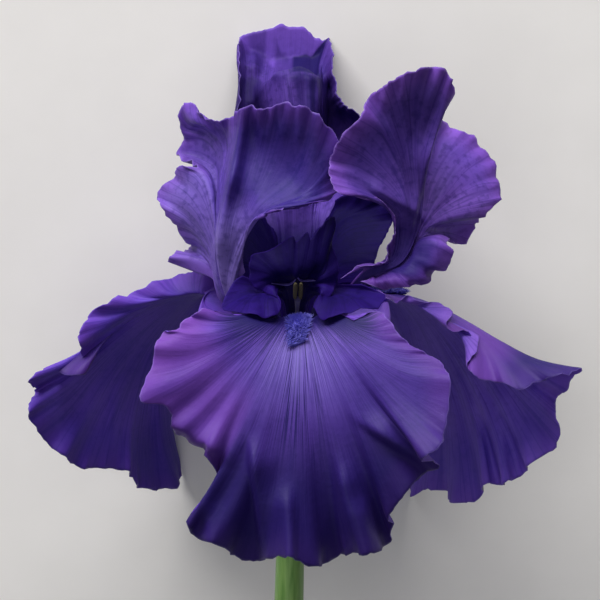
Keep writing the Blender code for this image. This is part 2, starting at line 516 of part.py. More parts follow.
def joined(core, pieces):
    """Joins the pieces that are rooted in a core to it, as one solid."""
    group = bpy.data.collections.new(core.name + "_pieces")
    bpy.context.scene.collection.children.link(group)
    for piece in pieces:
        group.objects.link(piece)
        bpy.context.scene.collection.objects.unlink(piece)
    union = core.modifiers.new("Union", "BOOLEAN")
    union.operation = "UNION"
    union.operand_type = "COLLECTION"
    union.collection = group
    union.solver = "MANIFOLD"
    replace_by_evaluated(core)
    for piece in pieces:
        bpy.data.objects.remove(piece)
    bpy.data.collections.remove(group)
    return core


def pressed(grid, thickness):
    """Presses what would sink below the surface flat upon it."""
    grid[..., 2] = np.maximum(grid[..., 2], thickness / 2 * MM)
    return grid


def smoothed(points, rounds):
    """Evens out a line of points, with its two ends kept."""
    points = points.copy()
    for _ in range(rounds):
        points[1:-1] = (points[:-2] + 2 * points[1:-1] + points[2:]) / 4
    return points


def claw_points(azimuth, rim_out, rim_half, count):
    """The places of the veins on the rim, in order across the claw."""
    return [
        flower_point(azimuth, place * rim_half, rim_out, RIM_HEIGHT + SEAT_GAP)
        for place in np.linspace(-1.0, 1.0, count)
    ]


def fall_veins(name):
    """Veins that rise over the claw, arch and hang to the margin."""
    azimuth = FALL_AZIMUTHS[name]
    margin = seen(FALL_MARGINS[name])
    even_margin = smoothed(margin, LOBE_SMOOTHING)
    waist = flower_point(azimuth, 0.0, FALL_WAIST_OUT, FALL_WAIST_HEIGHT)
    rims = claw_points(azimuth, FALL_RIM_OUT, FALL_RIM_HALF, len(margin))
    rise = flower_vector(azimuth, 0.0, FALL_RISE_OUT, FALL_RISE_HEIGHT)
    swell = flower_vector(azimuth, 0.0, FALL_SWELL_OUT, FALL_SWELL_HEIGHT)
    share = np.linspace(0.0, 1.0, 8)[:, None]
    veins = []
    for k, place in enumerate(np.linspace(-1.0, 1.0, len(margin))):
        trough = FALL_WAIST_TROUGH * place * place
        start = waist + flower_vector(azimuth, place * FALL_WAIST_HALF, 0.0, trough)
        end = even_margin[k]
        length = np.linalg.norm(end - start)
        first = start + rise * length
        second = end + (start - end) * FALL_HANG + swell * length
        arch = (
            start * (1 - share) ** 3 + 3 * first * share * (1 - share) ** 2
            + 3 * second * share ** 2 * (1 - share) + end * share ** 3
        )
        onward = np.gradient(arch, axis=0)
        onward /= np.linalg.norm(onward, axis=1)[:, None]
        lobe = np.dot(margin[k] - end, onward[-1])
        wave = margin[k] - end - lobe * onward[-1]
        arch = arch + lobe * onward * share ** LOBE_FADE + wave * share ** WAVE_FADE
        veins.append(np.vstack([rims[k], arch]))
    return veins


def standard_veins(name):
    """Veins that go up the claw, through its waist and over the blade to the margin."""
    azimuth = STANDARD_AZIMUTHS[name]
    chosen = STANDARD_VEINS[name]
    rims = claw_points(azimuth, STANDARD_RIM_OUT, STANDARD_RIM_HALF, len(chosen))
    middle, reach = (np.array(reading, float) for reading in STANDARD_WAISTS[name])
    places = np.linspace(-1.0, 1.0, len(chosen))
    waists = [seen(middle + reach * place) for place in places]
    return [np.vstack([rims[k], waists[k], seen(chosen[k])]) for k in range(len(chosen))]


def frilled(grid):
    """Gives the margin fine teeth, and waves that fade in over the last rows of faces."""
    columns = np.arange(grid.shape[1])[:, None]
    onward = grid[-1] - grid[-2]
    onward /= np.linalg.norm(onward, axis=1)[:, None]
    across = np.gradient(grid[-1], axis=0)
    normal = np.cross(across, onward)
    normal /= np.linalg.norm(normal, axis=1)[:, None]
    teeth = FRILL_TOOTH * (np.sin(2.4 * columns) + np.sin(5.1 * columns + 1.0)) / 2
    waves = FRILL_WAVE * np.sin(1.9 * columns)
    grid[-1] += onward * teeth + normal * waves
    grid[-2] += normal * waves * FRILL_FADE
    return grid


def folded(name, grid):
    """Lifts the sheet on the right hand of each of its folds, as the fold runs."""
    for start, end, reach, height, edge in FOLDS.get(name, ()):
        start = np.array(start, float)
        run = np.array(end, float) - start
        away = grid[..., :2] - start
        share = np.clip(away @ run / (run @ run), 0.0, 1.0)
        gap = np.linalg.norm(away - share[..., None] * run, axis=-1)
        side = (away[..., 0] * run[1] - away[..., 1] * run[0]) / np.linalg.norm(run)
        grid[..., 2] += height * np.exp(-(gap / reach) ** 2) * (1.0 + np.tanh(side / edge)) / 2
    return grid


def petal(name, veins, look):
    columns, rows = PETAL_GRIDS[name]
    grid = frilled(folded(name, blade(veins, np.linspace(0.0, 1.0, rows + 1), columns)))
    return sheet_object(name, pressed(laid(grid), PETAL_THICK), PETAL_THICK, look)


def style_front_veins():
    """Veins that rise on the foot, pass the neck and spread into wings and crests."""
    veins = []
    for place, points in zip(np.linspace(-1.0, 1.0, len(STYLE_FRONT_VEINS)), STYLE_FRONT_VEINS):
        side = place * STYLE_FOOT_HALF
        foot = flower_point(0.0, side, STYLE_FOOT_OUT, STYLE_FOOT_HEIGHT)
        neck = flower_point(0.0, 1.6 * side, *STYLE_FRONT_NECK)
        veins.append(np.vstack([foot, neck, [flower_point(0.0, *point) for point in points]]))
    return veins


def style_right_veins():
    veins = []
    for place, points in zip(np.linspace(-1.0, 1.0, len(STYLE_REAR_VEINS)), STYLE_REAR_VEINS):
        side = place * STYLE_FOOT_HALF
        foot = flower_point(120.0, side, STYLE_FOOT_OUT, STYLE_FOOT_HEIGHT)
        veins.append(np.vstack([foot, seen(points)]))
    return veins


def mirrored(veins):
    """The same veins on the other side of the flower's axis."""
    middle = np.array((2.0 * AXIS_ACROSS, 0.0, 0.0))
    return [vein * np.array((-1.0, 1.0, 1.0)) + middle for vein in reversed(veins)]


def style_arm(name, veins, counts, look):
    columns, rows = counts
    grid = laid(blade(veins, np.linspace(0.0, 1.0, rows + 1), columns))
    return sheet_object(name, pressed(grid, STYLE_THICK), STYLE_THICK, look)


def style_arms(look):
    style_arm("style_front", style_front_veins(), STYLE_FRONT_GRID, look)
    style_arm("style_right", style_right_veins(), STYLE_REAR_GRID, look)
    style_arm("style_left", mirrored(style_right_veins()), STYLE_REAR_GRID, look)


def bract(name, look):
    """A papery bract that wraps the ovary and narrows to a tip."""
    azimuth, base, tip, wrap, out = BRACTS[name]
    grid = np.empty((BRACT_ROWS + 1, BRACT_COLUMNS + 1, 3))
    for row in range(BRACT_ROWS + 1):
        share = row / BRACT_ROWS
        reach = wrap * math.sqrt(1.0 - share ** BRACT_TAPER) + BRACT_TIP_ANGLE
        height = base + (tip - base) * share
        for column in range(BRACT_COLUMNS + 1):
            swing = reach * (2.0 * column / BRACT_COLUMNS - 1.0)
            grid[row, column] = flower_point(azimuth + swing, 0.0, out, height)
    return sheet_object(name, laid(grid), BRACT_THICK, look)


def ovary_tube(look):
    """The ribbed ovary, and above it the tube that widens to the rim."""
    rings = []
    for height, radius in OVARY_PROFILE:
        belly = max(0.0, 1.0 - abs(height - OVARY_MIDDLE) / OVARY_REACH)
        ring = []
        for k in range(OVARY_SIDES):
            azimuth = 360.0 * k / OVARY_SIDES
            rib = math.cos(math.radians(OVARY_RIBS * azimuth))
            swollen = radius * (1.0 + OVARY_RIB_DEPTH * belly * rib)
            ring.append(flower_point(azimuth, 0.0, swollen, height))
        rings.append(ring)
    return ring_solid("ovary_tube", rings, look)


def stem(look):
    rings = []
    for share in np.linspace(0.0, 1.0, STEM_LENGTHS + 1):
        height = STEM_TOP + (STEM_END - STEM_TOP) * share
        radius = STEM_RADIUS + (STEM_END_RADIUS - STEM_RADIUS) * share
        azimuths = [360.0 * k / STEM_SIDES for k in range(STEM_SIDES)]
        rings.append([flower_point(azimuth, 0.0, radius, height) for azimuth in azimuths])
    return ring_solid("stem", rings, look)


def stamen(name, azimuth, look):
    """A filament with its anther, round all along."""
    path = np.array(STAMEN_PATH)
    rings = []
    for (out, height, radius), (run, rise) in zip(path, np.gradient(path[:, :2], axis=0)):
        length = math.hypot(run, rise)
        ring = []
        for k in range(STAMEN_SIDES):
            turn = 2.0 * math.pi * k / STAMEN_SIDES
            lift, side = radius * math.cos(turn) / length, radius * math.sin(turn)
            ring.append(flower_point(azimuth, side, out - rise * lift, height + run * lift))
        rings.append(ring)
    return ring_solid(name, rings, look)


def beard(name, fall, look):
    """A ridge seated along the fall's midrib, with its hairs rooted in it."""
    shares = np.linspace(BEARD_START, BEARD_END, BEARD_ROWS + 1)
    columns = PETAL_GRIDS[fall][0]
    grid = blade(fall_veins(fall), shares, columns)
    middle = grid[:, columns // 2]
    across = grid[:, columns // 2 + 1] - grid[:, columns // 2 - 1]
    across /= np.linalg.norm(across, axis=1)[:, None]
    forward = np.gradient(middle, axis=0)
    forward /= np.linalg.norm(forward, axis=1)[:, None]
    lift = np.cross(forward, across)
    lift /= np.linalg.norm(lift, axis=1)[:, None]
    seat = PETAL_THICK / 2 + SEAT_GAP + 0.1
    rings = []
    for k in range(len(middle)):
        taper = math.sin(math.pi * (0.12 + 0.76 * k / BEARD_ROWS)) ** 0.6
        ring = []
        for j in range(BEARD_SIDES):
            turn = 2.0 * math.pi * j / BEARD_SIDES
            side = BEARD_HALF_WIDTH * taper * math.cos(turn)
            rise = seat + BEARD_RISE * taper * (1.0 + math.sin(turn)) / 2
            ring.append(middle[k] + across[k] * side + lift[k] * rise)
        rings.append(ring)
    ridge = ring_solid(name, rings, look)
    chance = random.Random(BEARD_SEED)
    hairs = []
    for _ in range(BEARD_HAIRS):
        place = chance.uniform(0.3, BEARD_ROWS - 0.3)
        row, part_way = int(place), place - int(place)
        side = chance.uniform(-0.6, 0.6) * BEARD_HALF_WIDTH
        lean_side = side / BEARD_HALF_WIDTH + chance.uniform(-HAIR_SPREAD, HAIR_SPREAD)
        lean_on = 0.3 + chance.uniform(-HAIR_SPREAD, HAIR_SPREAD)
        root = middle[row] * (1 - part_way) + middle[row + 1] * part_way
        root = root + across[row] * side + lift[row] * (seat + BEARD_RISE * 0.75 - HAIR_SINK)
        heading = lift[row] + across[row] * lean_side * 0.7 + forward[row] * lean_on
        heading /= np.linalg.norm(heading)
        hairs.append(hair(root, heading, HAIR_LENGTH * chance.uniform(0.8, 1.1), look))
    return joined(ridge, hairs)


def hair(root, heading, length, look):
    """A three-sided needle from its root towards its tip."""
    foot, tip = (Vector(point) for point in laid(np.array([root, root + heading * length])))
    mesh = bmesh.new()
    bmesh.ops.create_cone(
        mesh, cap_ends=True, segments=3, radius1=HAIR_RADIUS * MM, radius2=0.0,
        depth=(tip - foot).length,
    )
    turn = (tip - foot).to_track_quat("Z", "Y").to_matrix()
    bmesh.ops.rotate(mesh, verts=mesh.verts, matrix=turn)
    bmesh.ops.translate(mesh, verts=mesh.verts, vec=(foot + tip) / 2)
    return mesh_object("hair", mesh, look)


def main():
    clear_scene()
    violet = material("blue_violet_petal", (0.045, 0.018, 0.20), 0.55)
    violet_style = material("dark_violet_style", (0.035, 0.014, 0.15), 0.5)
    beard_blue = material("blue_beard", (0.06, 0.06, 0.32), 0.8)
    green = material("green_stem", (0.16, 0.30, 0.08), 0.5)
    papery = material("papery_bract", (0.30, 0.32, 0.14), 0.7)
    tan = material("tan_anther", (0.34, 0.27, 0.12), 0.7)
    for fall, azimuth in FALL_AZIMUTHS.items():
        petal(fall, fall_veins(fall), violet)
        beard(fall.replace("fall", "beard"), fall, beard_blue)
        stamen(fall.replace("fall", "stamen"), azimuth, tan)
    for standard in STANDARD_AZIMUTHS:
        petal(standard, standard_veins(standard), violet)
    style_arms(violet_style)
    ovary_tube(green)
    stem(green)
    for name in BRACTS:
        bract(name, papery)


if __name__ == "__main__":
    main()
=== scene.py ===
"""The looks of a bearded iris flower that lies on its back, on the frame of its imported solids.

The petals are described as they are seen from the front. A ruler reading (across, up, toward) is
in millimetres from the flower's heart: across to the right, up along the flower, and toward the
eye. Organs that repeat round the flower are described by azimuth, side, out and height instead:
out from the flower's axis and height along it, with azimuth 0 towards the eye.
"""

import math
import random

import bmesh
import bpy
import numpy as np
from mathutils import Matrix, Vector

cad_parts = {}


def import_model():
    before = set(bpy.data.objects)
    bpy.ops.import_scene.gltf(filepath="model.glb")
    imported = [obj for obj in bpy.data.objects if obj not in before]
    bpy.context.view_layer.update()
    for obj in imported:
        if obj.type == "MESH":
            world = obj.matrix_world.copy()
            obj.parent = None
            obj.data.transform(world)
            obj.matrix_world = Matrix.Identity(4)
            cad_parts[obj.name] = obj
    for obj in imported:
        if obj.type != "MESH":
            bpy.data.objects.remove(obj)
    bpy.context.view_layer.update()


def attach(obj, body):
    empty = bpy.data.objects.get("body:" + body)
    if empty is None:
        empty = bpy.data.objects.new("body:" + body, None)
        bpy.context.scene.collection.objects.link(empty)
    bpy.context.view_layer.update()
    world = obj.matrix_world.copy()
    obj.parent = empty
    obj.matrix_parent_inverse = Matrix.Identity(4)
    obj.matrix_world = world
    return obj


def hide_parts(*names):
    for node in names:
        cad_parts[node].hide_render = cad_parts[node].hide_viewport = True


# Millimetres to metres
MM = 0.001

# The eye that the ruler readings are taken from, and how far above the flower's level it looks
EYE_DISTANCE = 900.0
VIEW_LIFT = math.radians(12.0)
# The surface that the flower lies on: its lean, its depth behind the heart, and the part's origin
LEAN = math.radians(7.5)
FLOOR_DEPTH = 59.2
PLACE_ACROSS = -1.8
PLACE_UP = 23.7

# Fresh tissue thins towards its margins, so the sheets are thinner than the solids
PETAL_SHEET = 0.4
STYLE_SHEET = 0.45
BRACT_SHEET = 0.35
# The share of its thickness that a sheet has at its margin, and how far in it is full
EDGE_SHARE = 0.3
EDGE_TAPER = 2.0

# Faces along and across each sheet
PETAL_FACES = (110, 230)
STYLE_FRONT_FACES = (60, 150)
STYLE_REAR_FACES = (60, 90)
BRACT_FACES = (60, 60)

# How finely a vein's length is measured, at each of its points
CURVE_STEPS = 24

# The rim of the perianth tube, on which all petals and organs are seated
RIM_HEIGHT = -14.0
SEAT_GAP = 0.3
AXIS_ACROSS = -0.4
STEM_DRIFT = 0.026

# The falls' claw: where it leaves the rim, and its waist, where the blade begins
FALL_RIM_OUT = 6.3
FALL_RIM_HALF = 2.6
FALL_WAIST_OUT = 22.0
FALL_WAIST_HEIGHT = -2.0
FALL_WAIST_HALF = 8.5
FALL_WAIST_TROUGH = 4.0

# How a fall's veins leave the waist and come down to the margin, as shares of their length
FALL_RISE_OUT = 0.30
FALL_RISE_HEIGHT = 0.09
FALL_HANG = 0.45
FALL_SWELL_OUT = 0.22
FALL_SWELL_HEIGHT = 0.06

# The middle of a fall follows a smoothed margin: the margin's lobes fade inward, its waves sooner
LOBE_SMOOTHING = 36
LOBE_FADE = 3.2
WAVE_FADE = 6.0

# The standards' claw on the rim
STANDARD_RIM_OUT = 6.0
STANDARD_RIM_HALF = 2.4

FALL_AZIMUTHS = {"fall_front": 2.0, "fall_left": -120.0, "fall_right": 120.0}
STANDARD_AZIMUTHS = {"standard_left": -60.0, "standard_right": 60.0, "standard_back": 180.0}

# The falls' margins, from one shoulder round the blade to the other
FALL_MARGINS = {
    "fall_front": (
        (-19, -5.7, 33.2), (-28, -2.2, 36.5), (-31, -4.6, 37.5), (-33, -5, 38),
        (-36.8, -9, 40), (-40.5, -9.4, 40.5), (-42.2, -13, 42), (-44, -20, 43), (-47, -30, 49),
        (-40, -31.5, 44), (-38, -35, 39), (-36.5, -40.5, 40), (-31, -42.5, 36), (-27.5, -47, 40),
        (-24, -53, 35), (-26.5, -59, 36.5), (-33, -66, 38), (-31, -71, 34), (-24, -73.5, 36),
        (-18, -77.5, 26), (-12, -78.5, 25), (-7, -77, 31), (-2, -77.3, 38), (5, -80.3, 36),
        (9, -79, 28), (14, -76.3, 26), (20, -76.3, 34), (25, -75, 31), (28.5, -72, 26),
        (28, -64.5, 37), (32, -59, 40), (36, -54, 39), (43, -49.5, 36), (38, -48, 48),
        (43, -44, 51), (45, -37, 48), (46.3, -24, 46), (44, -19.5, 43), (40, -16.5, 41),
        (36, -14.5, 40), (32, -11.5, 38.5), (28, -6.4, 37), (24.5, -3.2, 34.6), (17, -6.2, 33.5),
    ),
    "fall_left": (
        (-22, 3, -24), (-24, 3, -36), (-25, -1, -46), (-28, -8, -54), (-34, -20, -60),
        (-40, -33, -65), (-37, -45, -67), (-34.5, -53, -67), (-37, -56.5, -62), (-43, -57, -56),
        (-48, -56, -46), (-50, -52, -37), (-54, -50.7, -34), (-60, -51, -26), (-66, -50, -21),
        (-70, -47, -12), (-75, -43, -9), (-80, -36, -1), (-80.7, -32, 1), (-78.5, -27, -5),
        (-80.5, -24.5, 4), (-77, -21.2, 0), (-73, -21.3, -5), (-69, -22.6, -3), (-63, -22.3, -4),
        (-62.2, -20.5, -8), (-64.5, -17, -5), (-65.5, -11, 1), (-63, -5.5, -3), (-58, -1.3, -2),
        (-52, 1.3, -7), (-45, 4.3, -8), (-38, 7.5, -10), (-32, 8.5, -10), (-27, 7.5, -8),
         (-22, 4, -4),
        (-19, 0, -1), (-19.5, -7, 1), (-30, -7, 6),
    ),
    "fall_right": (
        (28, -7, 6), (13, -7, 1), (12, -1.5, -1), (20, 1, -2), (25, 0.5, 0), (29, 0, 0),
        (33, 0.5, -3), (37, 0, -4), (42, -0.8, -7), (47, -3, -5),
        (45, -7.5, 1), (50, -10, 0), (54.5, -10.7, -3), (54, -15, 3), (51.5, -20.5, 5),
        (54, -23.5, 7), (60, -24.5, 5), (67, -26.5, 10), (72, -24.5, 7), (79, -23, 9),
        (85.5, -20.7, 6), (82.5, -24, 3), (81, -27, 2), (78, -30, -3), (77.5, -33, -1),
        (79, -39, -2), (77, -45, -8), (70, -49, -12), (68.5, -52, -20), (63, -54.8, -19),
        (61, -55.6, -29), (57, -55, -26), (54.5, -59.5, -38), (50, -61, -38), (45.5, -60.3, -46),
        (44, -57.3, -52), (38, -57, -56), (34, -59, -67), (33, -50, -68), (36, -36, -65),
        (33, -20, -60), (28, -8, -54), (25, -2, -46), (24, 3, -36), (22, 3, -24),
    ),
}

# Folds as they are seen in the petals: from, to, reach, height, and sharpness of their one edge
FOLDS = {
    "fall_front": (
        ((-9, -82), (-13, -49), 7, 4.4, 0.6), ((-1.5, -60), (-0.5, -82), 5.5, 4, 1.4),
        ((14.5, -82), (12, -54), 6, 3.6, 1), ((21, -62), (24, -78), 5, 3, 1.2),
        ((41, -50.5), (25, -40), 7, 4.2, 0.7), ((-27, -42), (-43, -32.5), 6, 3.4, 0.8),
        ((-35, -10), (-24, -8), 5, 1.6, 1.2), ((-25, -78), (-27, -62), 4, 2, 1.4),
    ),
    "fall_left": (
        ((-43, -58), (-46, -20), 5, 2.6, 1.4), ((-58, -52), (-57, -28), 5, 2, 1.6),
        ((-66, -20), (-50, -6), 5, 2, 1),
    ),
    "fall_right": (
        ((54.5, -62), (55, -34), 4, 2.2, 1.2), ((61, -58), (61, -32), 4, 2.2, 1.2),
        ((69, -53), (68.5, -30), 4, 2.2, 1.2), ((45, -60), (44, -30), 5, 2.2, 1.6),
    ),
    "standard_left": (
        ((-24, 18), (-20.5, 35), 5, 3, 0.6), ((-20.5, 35), (-17.5, 58), 5, 3, 0.6),
        ((-11, 49), (-12, 60), 3, 1.3, 0.5), ((-5, 50), (-6, 61), 3, 1.3, 0.5),
        ((0, 49), (0.5, 61), 3, 1.3, 0.5),
    ),
    "standard_right": (
        ((47.5, 65), (39.3, 41.5), 6, 3.6, 0.5), ((39.3, 41.5), (35, 25), 5, 3, 0.5),
        ((35.5, 24.5), (24, 30.5), 4, 2.4, 0.6), ((24.5, 58), (26, 66), 3, 1.4, 0.5),
        ((29.5, 59), (31, 69), 3, 1.4, 0.5), ((34, 60), (36, 72), 3, 1.4, 0.5),
        ((38, 60), (41, 72), 3, 1.4, 0.5),
    ),
    "standard_back": (
        ((-8, 50), (-4, 66), 3.6, 1.8, 0.7), ((3.5, 50), (3, 68), 3.6, 1.8, 0.7),
        ((9, 48), (10.5, 62), 3.6, 1.8, 0.7),
    ),
    # Finer creases in the back standard's crown
    "crown": (
        ((-6.2, 71), (-13.4, 61.5), 3.4, 1.8, 0.7), ((-19, 74.4), (-7.1, 72.9), 3, 1.6, 0.7),
        ((7.2, 80), (-1.6, 77.8), 3.2, 2, 0.7), ((-5.2, 70.3), (4.3, 69.4), 3, 1.6, 0.7),
        ((-9.4, 86.5), (-8.8, 76.7), 3, 1, 0.9), ((-14.2, 75.6), (-13.5, 86), 2.6, 0.9, 0.9),
    ),
}

# The middle of each standard's waist, and the reach from there to its second edge
STANDARD_WAISTS = {
    "standard_left": ((-21, 1, 11), (2.5, 0.5, 3.5)),
    "standard_right": ((21, 6.5, 17), (1.0, -2.6, -1.0)),
    "standard_back": ((0, 5, -22), (-11.0, 0.0, 0.0)),
}

